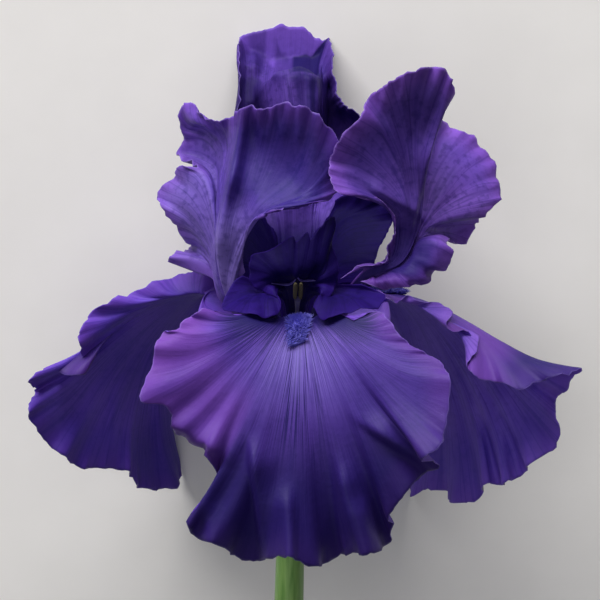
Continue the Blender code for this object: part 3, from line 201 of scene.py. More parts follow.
# The standards' veins, from one side round to the other, each from past the waist to the margin
STANDARD_VEINS = {
    "standard_left": (
        ((-25, 6, 6), (-31, 8.5, 2), (-38.8, 11.5, -2)),
        ((-25.5, 9, 6), (-31, 12.5, 3), (-38, 13.5, 0)),
        ((-26, 11, 7), (-30, 14.5, -2), (-32, 15.5, -9)),
        ((-26, 13, 8), (-30, 18, 4), (-35, 19.5, 0)),
        ((-26, 15, 9), (-32, 23, 6), (-40.8, 28.5, 1)),
        ((-26, 17, 10), (-32, 27, 8), (-41.8, 32.3, -3)),
        ((-25.5, 20, 11.5), (-31, 31, 9), (-38, 36, 0)),
        ((-25, 23, 13), (-29, 36, 10), (-35.5, 40.3, 4)),
        ((-24.5, 25, 13.5), (-26, 37, 9), (-29.5, 40.2, 8)),
        ((-24, 27, 13.5), (-24, 38, 3), (-29, 42, -5), (-36.2, 43.5, -8)),
        ((-23.7, 29, 13.5), (-23.5, 42, 3), (-28, 48, -4), (-34, 49, -8)),
        ((-23.4, 31, 14), (-22.7, 44, 4), (-27.5, 51, -2), (-33, 52.3, -5), (-35.8, 55.5, -4)),
        ((-23, 32, 14.5), (-22, 46, 6), (-26.5, 51.5, 2), (-30.5, 53.5, 4), (-32, 59.4, 0)),
        ((-22.8, 33, 15), (-21.2, 47, 8), (-23.5, 52, 9), (-26.5, 53.8, 12)),
        ((-23, 30, 16), (-20.3, 46, 13), (-20, 55, 18)),
        ((-24.2, 20, 17.5), (-21, 35, 19), (-18, 50, 20), (-17.6, 57, 23)),
        ((-23, 20, 20.5), (-19.6, 35, 22), (-16.8, 50, 22.5), (-16.2, 58, 25)),
        ((-20.5, 20, 21), (-16.8, 35, 21.5), (-13.5, 50, 22), (-12.5, 57.5, 28)),
        ((-19, 19, 21), (-14.5, 31, 24), (-10, 46, 23), (-7.5, 58.5, 31)),
        ((-18, 18.5, 21), (-13, 28.5, 26), (-6, 42, 24), (-1.5, 59, 34)),
        ((-17, 18.5, 21.5), (-12, 27.8, 27), (-2, 38, 25), (4, 57.5, 34)),
        ((-16.7, 18.2, 22), (-10, 27.5, 28), (0.5, 35, 27), (8.5, 53.5, 32)),
        ((-16.5, 18, 22), (-9, 27.3, 28.5), (2, 32, 28), (13, 46, 27)),
        ((-16.3, 17.5, 22), (-8.5, 27, 29), (3, 30.3, 29), (13, 34, 24)),
        ((-16.3, 17, 22), (-8.5, 26.8, 29.5), (0, 28.3, 31), (8, 29.8, 28)),
        ((-16.3, 16, 21.5), (-11, 25.3, 28.5), (-2.5, 28.2, 31)),
        ((-16.5, 14, 20.5), (-14.3, 22.5, 26), (-10, 26, 29)),
        ((-17.6, 9, 16), (-16.6, 15, 18.5), (-15.5, 20, 22)),
        ((-18.6, 6, 14.5), (-17.3, 9, 15.2), (-16.2, 12, 16.5)),
        ((-18.8, 4.5, 14), (-17.2, 6.5, 14.3), (-15.5, 8.3, 15)),
    ),
    "standard_right": (
        ((20, 9.5, 18), (17, 9, 20), (13, 6.3, 23)),
        ((23, 10, 18), (22, 10.3, 20), (18, 9.3, 22)),
        ((25.5, 11, 18), (25.3, 11.3, 20), (23.5, 11.3, 21)),
        ((27, 12, 17.5), (27.2, 12.5, 20), (26.8, 12.8, 21)),
        ((27.8, 12.2, 17), (28.6, 16.5, 18.5), (28.5, 19, 21)),
        ((28.2, 12, 17), (29.3, 18.5, 18.5), (28.9, 24.5, 21)),
        ((28.6, 12, 17), (30, 19, 18), (29.6, 24.5, 20.5), (25, 29.8, 27)),
        ((29, 12, 17), (30.7, 19.3, 17.5), (30, 25.5, 21), (20, 31.2, 30), (13, 31.8, 31)),
        ((29.3, 11.9, 17), (31.4, 19.6, 17.5), (30.4, 27, 22), (18, 34, 28), (9.8, 37, 30)),
        ((29.6, 11.9, 17), (32.1, 19.9, 17.5), (30.9, 29, 22.5), (19, 39, 27), (9.7, 41.5, 29)),
        ((29.8, 11.8, 17), (32.7, 20.2, 17.5), (31.4, 31.5, 23), (21, 44, 28), (13, 49, 33)),
        ((30, 11.8, 17), (33.3, 20.5, 17.5), (31.9, 34, 23), (25, 49, 28), (18.5, 54.3, 34)),
        ((30.2, 11.7, 17), (33.9, 20.8, 17.5), (32.5, 37, 23), (27, 52, 30), (21.2, 60.5, 31)),
        ((30.4, 11.7, 17), (34.4, 21.1, 17.5), (33.2, 40, 23), (29, 55, 30), (25.5, 64, 35)),
        ((30.6, 11.6, 17), (34.9, 21.4, 17.5), (34, 43, 23), (32, 57.5, 31), (29.5, 66.5, 37)),
        ((30.8, 11.6, 17), (35.3, 21.7, 17.5), (35, 45, 23), (34.5, 60, 31), (35, 69, 38)),
        ((31, 11.5, 17), (35.7, 21.9, 17.3), (36.2, 45.5, 23), (38, 60, 31), (41, 70, 34)),
        ((31.2, 11.5, 17), (36.1, 22.1, 17), (37.4, 44.5, 22), (41.5, 58, 27), (45, 68.5, 30)),
        ((31.4, 11.4, 17), (36.5, 22.3, 17.2), (39.3, 41.5, 21.5), (43.4, 54.5, 25),
         (47, 63.5, 27)),
        ((31.6, 11.4, 16), (35.8, 22.7, 13.6), (35.2, 41, 12.5), (38, 51, 11), (42, 58, 9)),
        ((31.8, 11.3, 15.5), (36.4, 22.8, 12), (36.8, 38.5, 5.5), (38.8, 47.5, 0),
         (42.6, 54.2, -5)),
        ((32, 11.3, 15.5), (37.3, 22.8, 12), (40.5, 35.5, 5.5), (45.5, 44.5, -1), (50.5, 50.5, -7)),
        ((32.2, 11.2, 15.5), (37.8, 22.7, 13), (44, 32, 7), (50, 40, 0), (57, 44.5, -8)),
        ((32.4, 11.2, 15.5), (38.2, 22.4, 12.5), (45, 29, 7), (53, 34, 1), (60.7, 36, -7)),
        ((32.6, 11.1, 15.5), (38.6, 22, 12.5), (46, 26.5, 8), (54, 29, 3), (61, 30.5, -5)),
        ((32.8, 11, 15.5), (38.8, 21.5, 12.5), (45, 24, 9), (51, 25, 5), (56.5, 25.6, 0)),
        ((32.9, 11, 15.5), (38.8, 20.8, 12), (43, 22, 3), (48, 22.5, -3), (53.5, 22.5, -7)),
        ((33, 10.9, 15.5), (38.4, 19.8, 12), (42.5, 20, 2), (47, 19, -4), (51, 17, -7)),
        ((33, 10.8, 16), (37.6, 18.8, 14), (41.5, 18.8, 6), (45, 18, 1), (47, 17, -2)),
        ((33, 10.7, 17), (36.5, 17.8, 17), (39.5, 19, 18), (42.5, 19.3, 18), (45.3, 17.8, 16)),
        ((33, 10.6, 17.5), (35.8, 15.5, 18.5), (39, 16.5, 20), (42.5, 16, 21), (46.4, 14, 18)),
        ((32.5, 10.4, 18), (35, 13, 19), (38, 12.5, 20.5), (41, 11, 21), (45, 9.8, 17)),
        ((31.5, 10, 18), (34, 10.5, 20), (38, 8.3, 20.5), (41, 7.5, 16)),
        ((29.5, 9, 18), (33, 7.8, 21), (36, 6, 21), (38.3, 4.8, 18)),
        ((27, 8, 18), (29, 6, 21.5), (31, 3.6, 21)),
        ((23.5, 7, 17.5), (24.5, 5.5, 20.5), (26, 3, 20)),
        ((22, 6.5, 17), (21, 6, 20), (19, 5.6, 21)),
    ),
    "standard_back": (
        ((10, 14, -24), (17, 26, -18), (22, 36, -14)),
        ((9, 18, -25), (17, 34, -24), (24, 46, -16)),
        ((8, 20, -25), (15, 38, -30), (21, 49, -24), (19.5, 54.2, -14)),
        ((7, 22, -26), (12, 42, -36), (15.5, 52, -33), (16, 57.8, -18)),
        ((6, 23, -26), (10, 44, -40), (11.5, 55, -38), (13.8, 58.8, -22)),
        ((5.5, 24, -27), (9, 46, -41), (9.8, 58, -41), (12, 62.3, -30)),
        ((5, 24, -27), (8, 47, -38), (8.7, 59, -38), (9.5, 64, -40), (11.2, 67, -34)),
        ((4.5, 24, -28), (7, 48, -33), (7.6, 59, -30), (8.2, 67.5, -38), (10.6, 72.5, -38)),
        ((3.8, 24, -28), (6, 50, -26), (6.6, 60, -25), (7, 66.5, -31), (7.2, 71, -44),
         (9.8, 78.3, -49)),
        ((2.5, 24, -28), (4.6, 50, -23), (4.8, 67.4, -27), (4.9, 66.4, -37), (5.2, 74, -50.4),
         (5.8, 78.5, -50.4)),
        ((1, 24, -28), (2, 50, -21), (1, 69.5, -26), (1.2, 68, -36), (1.5, 74.5, -50.6),
         (2, 82, -50.6)),
        ((0, 24, -28), (-0.5, 50, -21), (-2.5, 68.6, -25.5), (-2.6, 67.3, -36), (-2.5, 74, -50.6),
         (-2.2, 82, -50.6)),
        ((-2, 24, -28), (-4, 50, -23), (-6, 67.5, -27), (-5.7, 66.5, -37), (-5, 73.5, -50.6),
         (-4.5, 83, -50.6)),
        ((-4, 24, -27), (-7, 48, -27), (-9, 64, -30), (-9, 65.5, -39), (-8, 73.5, -50.6),
         (-7, 82, -50.6)),
        ((-5, 23, -27), (-9, 47, -31), (-11, 60, -33), (-11, 67, -42), (-10.5, 75, -50.6),
         (-10, 81, -50.6)),
        ((-6, 22, -26), (-11, 46, -34), (-13, 60, -37), (-13, 70, -42), (-13, 75.5, -50.4),
         (-13.7, 80.3, -50.4)),
        ((-8, 20, -25), (-14, 42, -32), (-16, 58, -35), (-15.5, 69, -41), (-16, 75, -46),
         (-17, 79, -48)),
        ((-9, 18, -25), (-16, 38, -28), (-18, 55, -29), (-17, 65, -33), (-18, 73, -34),
         (-17.5, 76, -38)),
        ((-9, 18, -25), (-16, 37, -26), (-18, 50, -26), (-17.3, 62, -26), (-17.4, 71.3, -27)),
        ((-9, 16, -24), (-17, 32, -22), (-20, 46, -22), (-17.6, 58, -16)),
        ((-9, 14, -24), (-17, 26, -18), (-22, 38, -13)),
    ),
}

# The style arms stand on the rim's middle, each on a narrow foot
STYLE_FOOT_HALF = 1.6
STYLE_FOOT_OUT = 2.4
STYLE_FOOT_HEIGHT = -13.6

# The front style arm as (side, out, height): one wing, the crests over the lip, the other wing
STYLE_FRONT_VEINS = (
    ((-3, 8, 1), (-9, 13.5, 7.2), (-15.5, 18, 11.2)),
    ((-3.5, 9.5, 2), (-11, 16, 7.2), (-18.5, 20.5, 9.4)),
    ((-4, 11, 3.2), (-13, 20.5, 6.4), (-21.4, 27, 4.2)),
    ((-4, 12, 4.2), (-12.5, 22.5, 6.2), (-19.4, 31.5, 3.4)),
    ((-4, 13, 5), (-12, 24.5, 6.2), (-14.5, 33, 3.2)),
    ((-4, 14, 5.6), (-9, 25.5, 6.2), (-9.5, 33, 2)),
    ((-3.8, 14.8, 6.2), (-6.5, 25, 6.4), (-5.6, 31, 2)),
    ((-3.6, 15.5, 6.6), (-5.5, 24.5, 7.2), (-4.4, 29, 3.8)),
    ((-3.5, 16, 7), (-6, 23.5, 8), (-4.4, 27, 5.8)),
    ((-3.4, 16.3, 7.4), (-7.5, 23, 8.9), (-8, 24.3, 6.8)),
    ((-3.2, 16.6, 7.8), (-8, 22.5, 10), (-11, 22, 7.8)),
    ((-3, 17, 8), (-7.5, 23, 11.5), (-13.3, 20.5, 9.3)),
    ((-2.8, 17.3, 8.3), (-7, 23.5, 12.5), (-13.5, 20.5, 13.6)),
    ((-2.5, 17.6, 8.5), (-6, 24, 13.2), (-13, 20, 17.9)),
    ((-2, 17.8, 8.6), (-4.5, 24.3, 13.8), (-9, 20.5, 18.7)),
    ((-1.5, 18, 8.7), (-3, 24.5, 14), (-5, 21, 21.1)),
    ((-0.8, 18.3, 8.7), (-1.2, 24.6, 13.8), (-1, 22, 23.7)),
    ((0, 18.5, 8.7), (0.3, 25, 13), (0.4, 22.5, 22.2)),
    ((0.6, 18.3, 8.7), (1.5, 24.6, 13.8), (3.5, 21.5, 25)),
    ((1, 18.3, 8.7), (2.5, 24.4, 14), (4.3, 21.5, 23)),
    ((1.8, 18, 8.7), (4.5, 24, 14.2), (7, 20, 25.7)),
    ((2.4, 17.8, 8.6), (6.5, 23, 15), (11, 17, 28.7)),
    ((2.8, 17.5, 8.4), (7.5, 22.5, 14), (11.3, 17.5, 25.2)),
    ((3, 17.2, 8.2), (8, 22.5, 12.5), (11, 18.5, 20.3)),
    ((3.2, 17, 8), (8, 22.5, 11.5), (12.5, 20, 14)),
    ((3.4, 16.6, 7.8), (8, 22.5, 10), (12.3, 21, 9.6)),
    ((3.6, 16, 7.2), (8, 23.5, 8.6), (10.3, 24, 6.4)),
    ((3.8, 15.5, 6.6), (7.5, 24.5, 7.8), (6.8, 26.5, 5)),
    ((4, 15, 6), (7.5, 25.5, 6.8), (5.6, 29.5, 3.4)),
    ((4, 14.5, 5.6), (8.3, 26, 6.2), (7.2, 33, 1.8)),
    ((4, 14, 5.2), (10.5, 25, 6), (9.8, 33.5, 1.9)),
    ((4, 13.3, 4.8), (12.5, 24, 6), (12.7, 32.5, 2.6)),
    ((4, 12.5, 4.2), (14.5, 23, 5.8), (17.6, 31.5, 3.3)),
    ((4, 11.5, 3.2), (15.5, 21, 6.4), (24.5, 28.5, 4.4)),
    ((3.8, 10, 2.2), (13, 17, 7), (26, 23.5, 6.6)),
    ((3, 8, 1), (10, 14.5, 7.2), (19, 21, 9.2)),
)

# Where the front style arm passes between its foot and the veins above, and how far it spreads
STYLE_FRONT_NECK = (6.5, -4.5)
STYLE_NECK_SPREAD = 1.6

# The rear right style arm as ruler readings; the rear left one mirrors it
STYLE_REAR_VEINS = (
    ((6, 1, -4), (13, 4.5, -1), (21, 4.5, 3)),
    ((6, 3, -4.5), (14, 11, -2), (23.3, 11, 1)),
    ((6, 5, -5), (15, 15, -4), (25, 16.5, -1)),
    ((6, 7, -6), (15, 18, -6), (27, 20, -3)),
    ((6, 8, -7), (14.5, 20.5, -8), (28.6, 23.7, -5)),
    ((6, 9, -8), (13.5, 22.5, -10), (21, 26, -9), (28, 28.3, -5)),
    ((5.5, 10, -9), (12, 23.5, -12), (18, 28, -11), (21, 31.5, -8)),
    ((5, 10, -10), (9.5, 23, -13), (12.5, 28, -14), (13, 31, -13)),
    ((4, 9, -11), (7, 19, -14), (8.5, 23, -16), (9.3, 25, -17)),
    ((3.5, 7, -11), (5, 14, -14), (5, 18.5, -17)),
    ((3.5, 4, -10), (7, 11, -15), (8.5, 13, -19)),
    ((4, 1, -9), (11, 7, -15), (17, 8, -19)),
)

# The stigma's thin lip below the front crests: its line in ruler readings, and its slope
LIP = (
    (-7.5, 4.9, 23.6), (-3, 4.6, 20.6), (-1, 5.5, 22.9), (0, 7, 24.8), (1, 6, 23.6),
    (3, 5.8, 22.2), (9, 6, 24.1),
)
LIP_SLOPE = (0.0, 0.5, -0.9)
LIP_SHEET = 0.3
LIP_FACES = (4, 60)
LIP_ROUNDING = 0.2

# The ovary with the perianth tube, as (height, radius) pairs from the stem up to the rim
OVARY_PROFILE = (
    (-60, 4.2), (-57, 5.2), (-50, 6), (-43, 5.6), (-37, 4.2),
    (-33, 3.6), (-26, 3.8), (-20, 5), (-16, 6.6), (-14, 7.4),
)
OVARY_MIDDLE = -50.0
OVARY_REACH = 12.0
OVARY_RIBS = 6
OVARY_RIB_DEPTH = 0.06
OVARY_SIDES = 72
OVARY_RINGS = 70

STEM_TOP = -60.3
STEM_END = -128.0
STEM_RADIUS = 4.3
STEM_END_RADIUS = 4.7
STEM_SIDES = 48
STEM_RINGS = 60
STEM_UNEVEN = 0.02
STEM_TWIST = 5.0

# Each bract: azimuth, base and tip heights, half-angle of its wrap, distance from the axis
BRACTS = {
    "spathe_outer": (35, -70, -30, 105, 8.3),
    "spathe_inner": (200, -64, -27, 95, 7.2),
}
BRACT_TIP_ANGLE = 4.0
BRACT_TAPER = 2.2
# It clasps the stem at its foot, and is fully open at this share of its length
BRACT_FOOT_OUT = 4.9
BRACT_FOOT_SHARE = 0.2
# Its waves: their height, and how they run across it and along it
BRACT_WAVE = (0.25, 5.0, 4.0)

# The beard: a low ridge along the fall's midrib, from its start to its end on the fall
BEARD_START = 0.17
BEARD_END = 0.36
BEARD_HALF_WIDTH = 3.8
BEARD_RISE = 2.0
BEARD_COLUMNS = 44
BEARD_ROWS = 24
BEARD_SIDES = 16
# How blunt and how round the ridge's ends are, and its share of the beard's rise
BEARD_BLUNT = 0.12
BEARD_ROUNDING = 0.6
RIDGE_SHARE = 0.7

# Its curved hairs
BEARD_HAIRS = 1000
BEARD_SEED = 7
HAIR_LENGTH = 2.3
HAIR_RADIUS = 0.12
HAIR_SINK = 0.4
HAIR_SPREAD = 0.5
HAIR_DROOP = 0.35
HAIR_SIDES = 5
HAIR_RINGS = 4
# They spring from this share of the beard's rise and of its width, and lean out and forward
HAIR_ROOT_SHARE = 0.6
HAIR_ROOM = 0.95
HAIR_OUTWARD = 0.9
HAIR_FORWARD = 0.25
# The least and most of their length, its share at the ridge's ends and what its middle adds
HAIR_LENGTHS = (0.6, 1.05)
HAIR_END_LENGTH = 0.55
HAIR_MIDDLE_LENGTH = 0.45
# How much a hair narrows towards its end, and its blunt tip
HAIR_NARROWING = 0.45
HAIR_TIP = 0.3

# The stamen's filament and anther, as (out, height, radius) along its length
STAMEN_PATH = (
    (4.2, -13.1, 0.9), (7.5, -7.5, 0.9), (11.5, -1.5, 0.8), (15.5, 2.8, 0.7),
    (16.5, 3.8, 1.2), (20, 6.9, 1.5), (24, 9.6, 1.2), (25.2, 10.3, 0.6),
)
STAMEN_SIDES = 20
STAMEN_RINGS = 30
ANTHER_START = 4
FILAMENT_SHARE = 0.8
THECA_OFFSET = 0.8
THECA_RADIUS = 0.62
THECA_DEPTH = 1.3
THECA_END = 0.02

# The ruffles along a margin: each train of waves has its length, height and reach inward
FALL_RUFFLES = (
    (13, 0.9, 7, 0.4), (7.3, 0.6, 4.5, 2.1), (3.9, 0.35, 2.4, 4.4), (2.3, 0.16, 1.5, 1.2),
)
STANDARD_RUFFLES = (
    (11, 0.8, 6, 0.4), (5.3, 0.55, 7, 2.1), (3.1, 0.34, 5, 4.4), (1.9, 0.16, 2.2, 1.2),
)
FALL_TEETH = ((1.9, 0.14, 0.8), (3.7, 0.2, 1.2), (7.9, 0.4, 2.5))
STANDARD_TEETH = ((1.9, 0.12, 0.9), (4.3, 0.26, 1.8), (9.7, 0.5, 3))
# How waves and teeth swell and shrink along the margin: the mean, its change and its length
RUFFLE_SWELL = (0.65, 0.35, 1.9)
TEETH_SWELL = (0.5, 0.5, 2.7)
TEETH_SWAY = 2.2
TEETH_BITE = 0.3
# Slow swings that keep the waves from running evenly: size, length and share of the seed
SWAY = ((1.2, 11.0, 1.0), (0.8, 4.7, 2.0))
# How sharply the waves fade inward, how far they fade at the margin's ends, and where they start
RUFFLE_FALLOFF = 1.3
RUFFLE_ENDS = 6.0
RUFFLE_RISE = 2.0
RUFFLE_DELAY = 0.6
# The seeds, from the length of a petal's name, and the calmer margins
FALL_SEED = 1.7
STANDARD_SEED = 2.3
STYLE_SEED = 3.1
CROWN_RUFFLE = 0.6
STYLE_RUFFLE = 0.7

# The row, as a share of a petal's length, whose middle counts as its midrib
MIDRIB_ROW = 0.65

# Where the camera stands: on the photograph's line of sight, over the flower's heart
CAMERA_LENS = 180.0
CAMERA_SENSOR = 36.0
CAMERA_NEAR = 0.01
HEART_TOWARD = 0.9

# Soft studio light: a broad lamp beyond the crown, a faint one above, and a dim sky. Each lamp
# has its place, width and depth in metres, its power in watts, and its tint
LAMPS = {
    "key_light": ((-0.35, 1.42, 0.66), 1.8, 0.7, 41.0, (1.0, 0.985, 0.97)),
    "fill_light": ((-0.3, 0.0, 1.7), 1.2, 1.2, 5.0, (0.97, 0.95, 1.0)),
}
LAMP_AIM = (0.0, 0.0, 0.05)
SKY_TINT = (0.88, 0.92, 1.0, 1.0)
SKY_STRENGTH = 0.12
FLOOR_SIZE = 6.0

# Small values: points this close are one, no length is shorter, and edges this sharp stay sharp
WELD = 1e-7
SHORTEST = 1e-9
SHARP_EDGE = math.radians(50.0)
# A direction that no path runs in, from which a path's side axis is found
LEVEL_HINT = (0.13, 0.21, 1.0)


def seen(readings):
    """Turns ruler readings at the heart into points on their sight lines."""
    readings = np.asarray(readings, float)
    spread = 1.0 - readings[..., 2:] / EYE_DISTANCE
    return np.concatenate([readings[..., :2] * spread, readings[..., 2:]], axis=-1)


def flower_vector(azimuth, side, out, height):
    """A direction given round the flower's axis, as the eye's axes see it."""
    turn = math.radians(azimuth)
    across = out * math.sin(turn) + side * math.cos(turn)
    level = out * math.cos(turn) - side * math.sin(turn)
    up = height * math.cos(VIEW_LIFT) - level * math.sin(VIEW_LIFT)
    toward = level * math.cos(VIEW_LIFT) + height * math.sin(VIEW_LIFT)
    return np.array((across, up, toward))


def flower_point(azimuth, side, out, height):
    drift = AXIS_ACROSS + STEM_DRIFT * min(0.0, height - RIM_HEIGHT)
    return flower_vector(azimuth, side, out, height) + np.array((drift, 0.0, 0.0))


def laid(points):
    """Lays points of the eye's axes on the surface, in metres, with the surface at height 0."""
    points = np.asarray(points, float)
    across, up, toward = points[..., 0], points[..., 1], points[..., 2]
    back = up * math.cos(LEAN) + toward * math.sin(LEAN)
    height = toward * math.cos(LEAN) - up * math.sin(LEAN)
    places = [across + PLACE_ACROSS, back + PLACE_UP, height + FLOOR_DEPTH]
    return np.stack(places, axis=-1) * MM


def hermite(values, knots, places):
    """Reads a smooth curve through the values, which stand at the knots, at the places."""
    steps = np.diff(knots)[:, None]
    slopes = np.diff(values, axis=0) / steps
    inner = (slopes[:-1] * steps[1:] + slopes[1:] * steps[:-1]) / (steps[:-1] + steps[1:])
    tangents = np.concatenate([slopes[:1], inner, slopes[-1:]])
    span = np.clip(np.searchsorted(knots, places, side="right") - 1, 0, len(knots) - 2)
    step = steps[span]
    share = (places - knots[span])[:, None] / step
    start, end = values[span], values[span + 1]
    leave, arrive = tangents[span] * step, tangents[span + 1] * step
    ease = share * share * (3 - 2 * share)
    bend = leave * share * (1 - share) ** 2 - arrive * share ** 2 * (1 - share)
    return start + (end - start) * ease + bend


def along(points, shares):
    """Reads a smooth curve through the points at the given shares of its length."""
    points = np.asarray(points, float)
    gaps = np.linalg.norm(np.diff(points, axis=0), axis=1)
    knots = np.concatenate([[0.0], np.cumsum(gaps ** 0.5)])
    curve = hermite(points, knots, np.linspace(0.0, knots[-1], CURVE_STEPS * len(points)))
    run = np.concatenate([[0.0], np.cumsum(np.linalg.norm(np.diff(curve, axis=0), axis=1))])
    places = np.asarray(shares) * run[-1]
    return np.stack([np.interp(places, run, curve[:, k]) for k in range(3)], axis=-1)


def blade(veins, shares, columns):
    """A grid of points, rows by columns, on the sheet that the veins carry."""
    lines = np.stack([along(vein, shares) for vein in veins])
    knots = np.arange(len(veins), dtype=float)
    places = np.linspace(0.0, knots[-1], columns + 1)
    flat = lines.reshape(len(veins), -1)
    return hermite(flat, knots, places).reshape(columns + 1, len(shares), 3).transpose(1, 0, 2)


def smoothed(points, rounds):
    """Evens out a line of points, with its two ends kept."""
    points = points.copy()
    for _ in range(rounds):
        points[1:-1] = (points[:-2] + 2 * points[1:-1] + points[2:]) / 4
    return points


def claw_points(azimuth, rim_out, rim_half, count):
    """The places of the veins on the rim, in order across the claw."""
    return [
        flower_point(azimuth, place * rim_half, rim_out, RIM_HEIGHT + SEAT_GAP)
        for place in np.linspace(-1.0, 1.0, count)
    ]


def fall_veins(name):
    """Veins that rise over the claw, arch and hang to the margin."""
    azimuth = FALL_AZIMUTHS[name]
    margin = seen(FALL_MARGINS[name])
    even_margin = smoothed(margin, LOBE_SMOOTHING)
    waist = flower_point(azimuth, 0.0, FALL_WAIST_OUT, FALL_WAIST_HEIGHT)
    rims = claw_points(azimuth, FALL_RIM_OUT, FALL_RIM_HALF, len(margin))
    rise = flower_vector(azimuth, 0.0, FALL_RISE_OUT, FALL_RISE_HEIGHT)
    swell = flower_vector(azimuth, 0.0, FALL_SWELL_OUT, FALL_SWELL_HEIGHT)
    share = np.linspace(0.0, 1.0, 8)[:, None]
    veins = []
    for k, place in enumerate(np.linspace(-1.0, 1.0, len(margin))):
        trough = FALL_WAIST_TROUGH * place * place
        start = waist + flower_vector(azimuth, place * FALL_WAIST_HALF, 0.0, trough)
        end = even_margin[k]
        length = np.linalg.norm(end - start)
        first = start + rise * length
        second = end + (start - end) * FALL_HANG + swell * length
        arch = (
            start * (1 - share) ** 3 + 3 * first * share * (1 - share) ** 2
            + 3 * second * share ** 2 * (1 - share) + end * share ** 3
        )
        onward = np.gradient(arch, axis=0)
        onward /= np.linalg.norm(onward, axis=1)[:, None]
        lobe = np.dot(margin[k] - end, onward[-1])
        wave = margin[k] - end - lobe * onward[-1]
        arch = arch + lobe * onward * share ** LOBE_FADE + wave * share ** WAVE_FADE
        veins.append(np.vstack([rims[k], arch]))
    return veins


def standard_veins(name):
    """Veins that go up the claw, through its waist and over the blade to the margin."""
    azimuth = STANDARD_AZIMUTHS[name]
    chosen = STANDARD_VEINS[name]
    rims = claw_points(azimuth, STANDARD_RIM_OUT, STANDARD_RIM_HALF, len(chosen))
    middle, reach = (np.array(reading, float) for reading in STANDARD_WAISTS[name])
    places = np.linspace(-1.0, 1.0, len(chosen))
    waists = [seen(middle + reach * place) for place in places]
    return [np.vstack([rims[k], waists[k], seen(chosen[k])]) for k in range(len(chosen))]


def folded(name, grid):
    """Lifts the sheet on the right hand of each of its folds, as the fold runs."""
    for start, end, reach, height, edge in FOLDS.get(name, ()):
        start = np.array(start, float)
        run = np.array(end, float) - start
        away = grid[..., :2] - start
        share = np.clip(away @ run / (run @ run), 0.0, 1.0)
        gap = np.linalg.norm(away - share[..., None] * run, axis=-1)
        side = (away[..., 0] * run[1] - away[..., 1] * run[0]) / np.linalg.norm(run)
        grid[..., 2] += height * np.exp(-(gap / reach) ** 2) * (1.0 + np.tanh(side / edge)) / 2
    return grid


def style_veins(azimuth, uppers, neck=()):
    """Veins that rise on the foot, pass the neck if there is one, and spread above."""
    veins = []
    for place, points in zip(np.linspace(-1.0, 1.0, len(uppers)), uppers):
        side = place * STYLE_FOOT_HALF
        foot = flower_point(azimuth, side, STYLE_FOOT_OUT, STYLE_FOOT_HEIGHT)
        narrow = [flower_point(azimuth, STYLE_NECK_SPREAD * side, *spot) for spot in neck]
        veins.append(np.vstack([foot, *narrow, points]))
    return veins


def mirrored(veins):
    """The same veins on the other side of the flower's axis."""
    middle = np.array((2.0 * AXIS_ACROSS, 0.0, 0.0))
    return [vein * np.array((-1.0, 1.0, 1.0)) + middle for vein in reversed(veins)]


def unit(vectors):
    return vectors / np.maximum(np.linalg.norm(vectors, axis=-1, keepdims=True), SHORTEST)


def run_along(grid, axis):
    """The length run so far along each row or column of a grid of points."""
    steps = np.linalg.norm(np.diff(grid, axis=axis), axis=-1)
    start = np.zeros_like(np.take(steps, [0], axis=axis))
    return np.concatenate([start, np.cumsum(steps, axis=axis)], axis=axis)


def growth_of(grid):
    """Each point's place in its petal: across, along from the claw, and in from the margin."""
    along_run = run_along(grid, 0)
    across_run = run_along(grid, 1)
    blade_row = int(MIDRIB_ROW * (len(grid) - 1))
    across = across_run[blade_row] - across_run[blade_row, -1] / 2
    sides = np.minimum(across_run, across_run[:, -1:] - across_run)
    inward = np.minimum(along_run[-1:] - along_run, sides)
    return np.stack([np.broadcast_to(across, inward.shape), along_run, inward], axis=-1)


def ruffled(grid, ruffles, teeth, strength, seed):
    """Waves across the sheet and fine teeth on its edge, which fade in towards the margin."""
    shore = run_along(grid[-1:], 1)[0]
    run = run_along(grid, 0)
    inward = run[-1:] - run
    share = run / run[-1:]
    normal = unit(np.cross(np.gradient(grid, axis=1), np.gradient(grid, axis=0)))
    onward = unit(np.gradient(grid, axis=0))
    sway = sum(size * np.sin(shore / length + turn * seed) for size, length, turn in SWAY)
    ends = np.clip(np.minimum(shore, shore[-1] - shore) / RUFFLE_ENDS, 0.0, 1.0)
    offset = np.zeros(inward.shape)
    mean, change, stretch = RUFFLE_SWELL
    for length, height, reach, phase in ruffles:
        swell = mean + change * np.sin(shore / (stretch * length) + phase + seed)
        wave = height * swell * np.sin(2 * np.pi * shore / length + sway + phase)
        offset += wave * ends * np.exp(-(inward / reach) ** RUFFLE_FALLOFF)
    reach_out = np.zeros(inward.shape)
    mean, change, stretch = TEETH_SWELL
    for length, height, reach in teeth:
        swell = mean + change * np.sin(shore / (stretch * length) + 3.0 * seed)
        bite = np.sin(2 * np.pi * shore / length + sway * TEETH_SWAY) - TEETH_BITE
        reach_out += height * swell * bite * ends * np.exp(-inward / reach)
    fade = strength * np.clip(share * RUFFLE_RISE - RUFFLE_DELAY, 0.0, 1.0)[..., None]
    return grid + (normal * offset[..., None] + onward * reach_out[..., None]) * fade


def new_mesh(name, shape):
    """Turns an edited shape into a mesh."""
    data = bpy.data.meshes.new(name)
    shape.to_mesh(data)
    shape.free()
    return data


def placed(name, data):
    """A new object in the scene."""
    thing = bpy.data.objects.new(name, data)
    bpy.context.scene.collection.objects.link(thing)
    return thing


def piece_object(name, data, node, looks):
    """A finished piece, which stands for its node."""
    for look in looks:
        data.materials.append(look)
    data.shade_smooth()
    piece = placed(name, data)
    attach(piece, "root")
    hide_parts(node)
    return piece


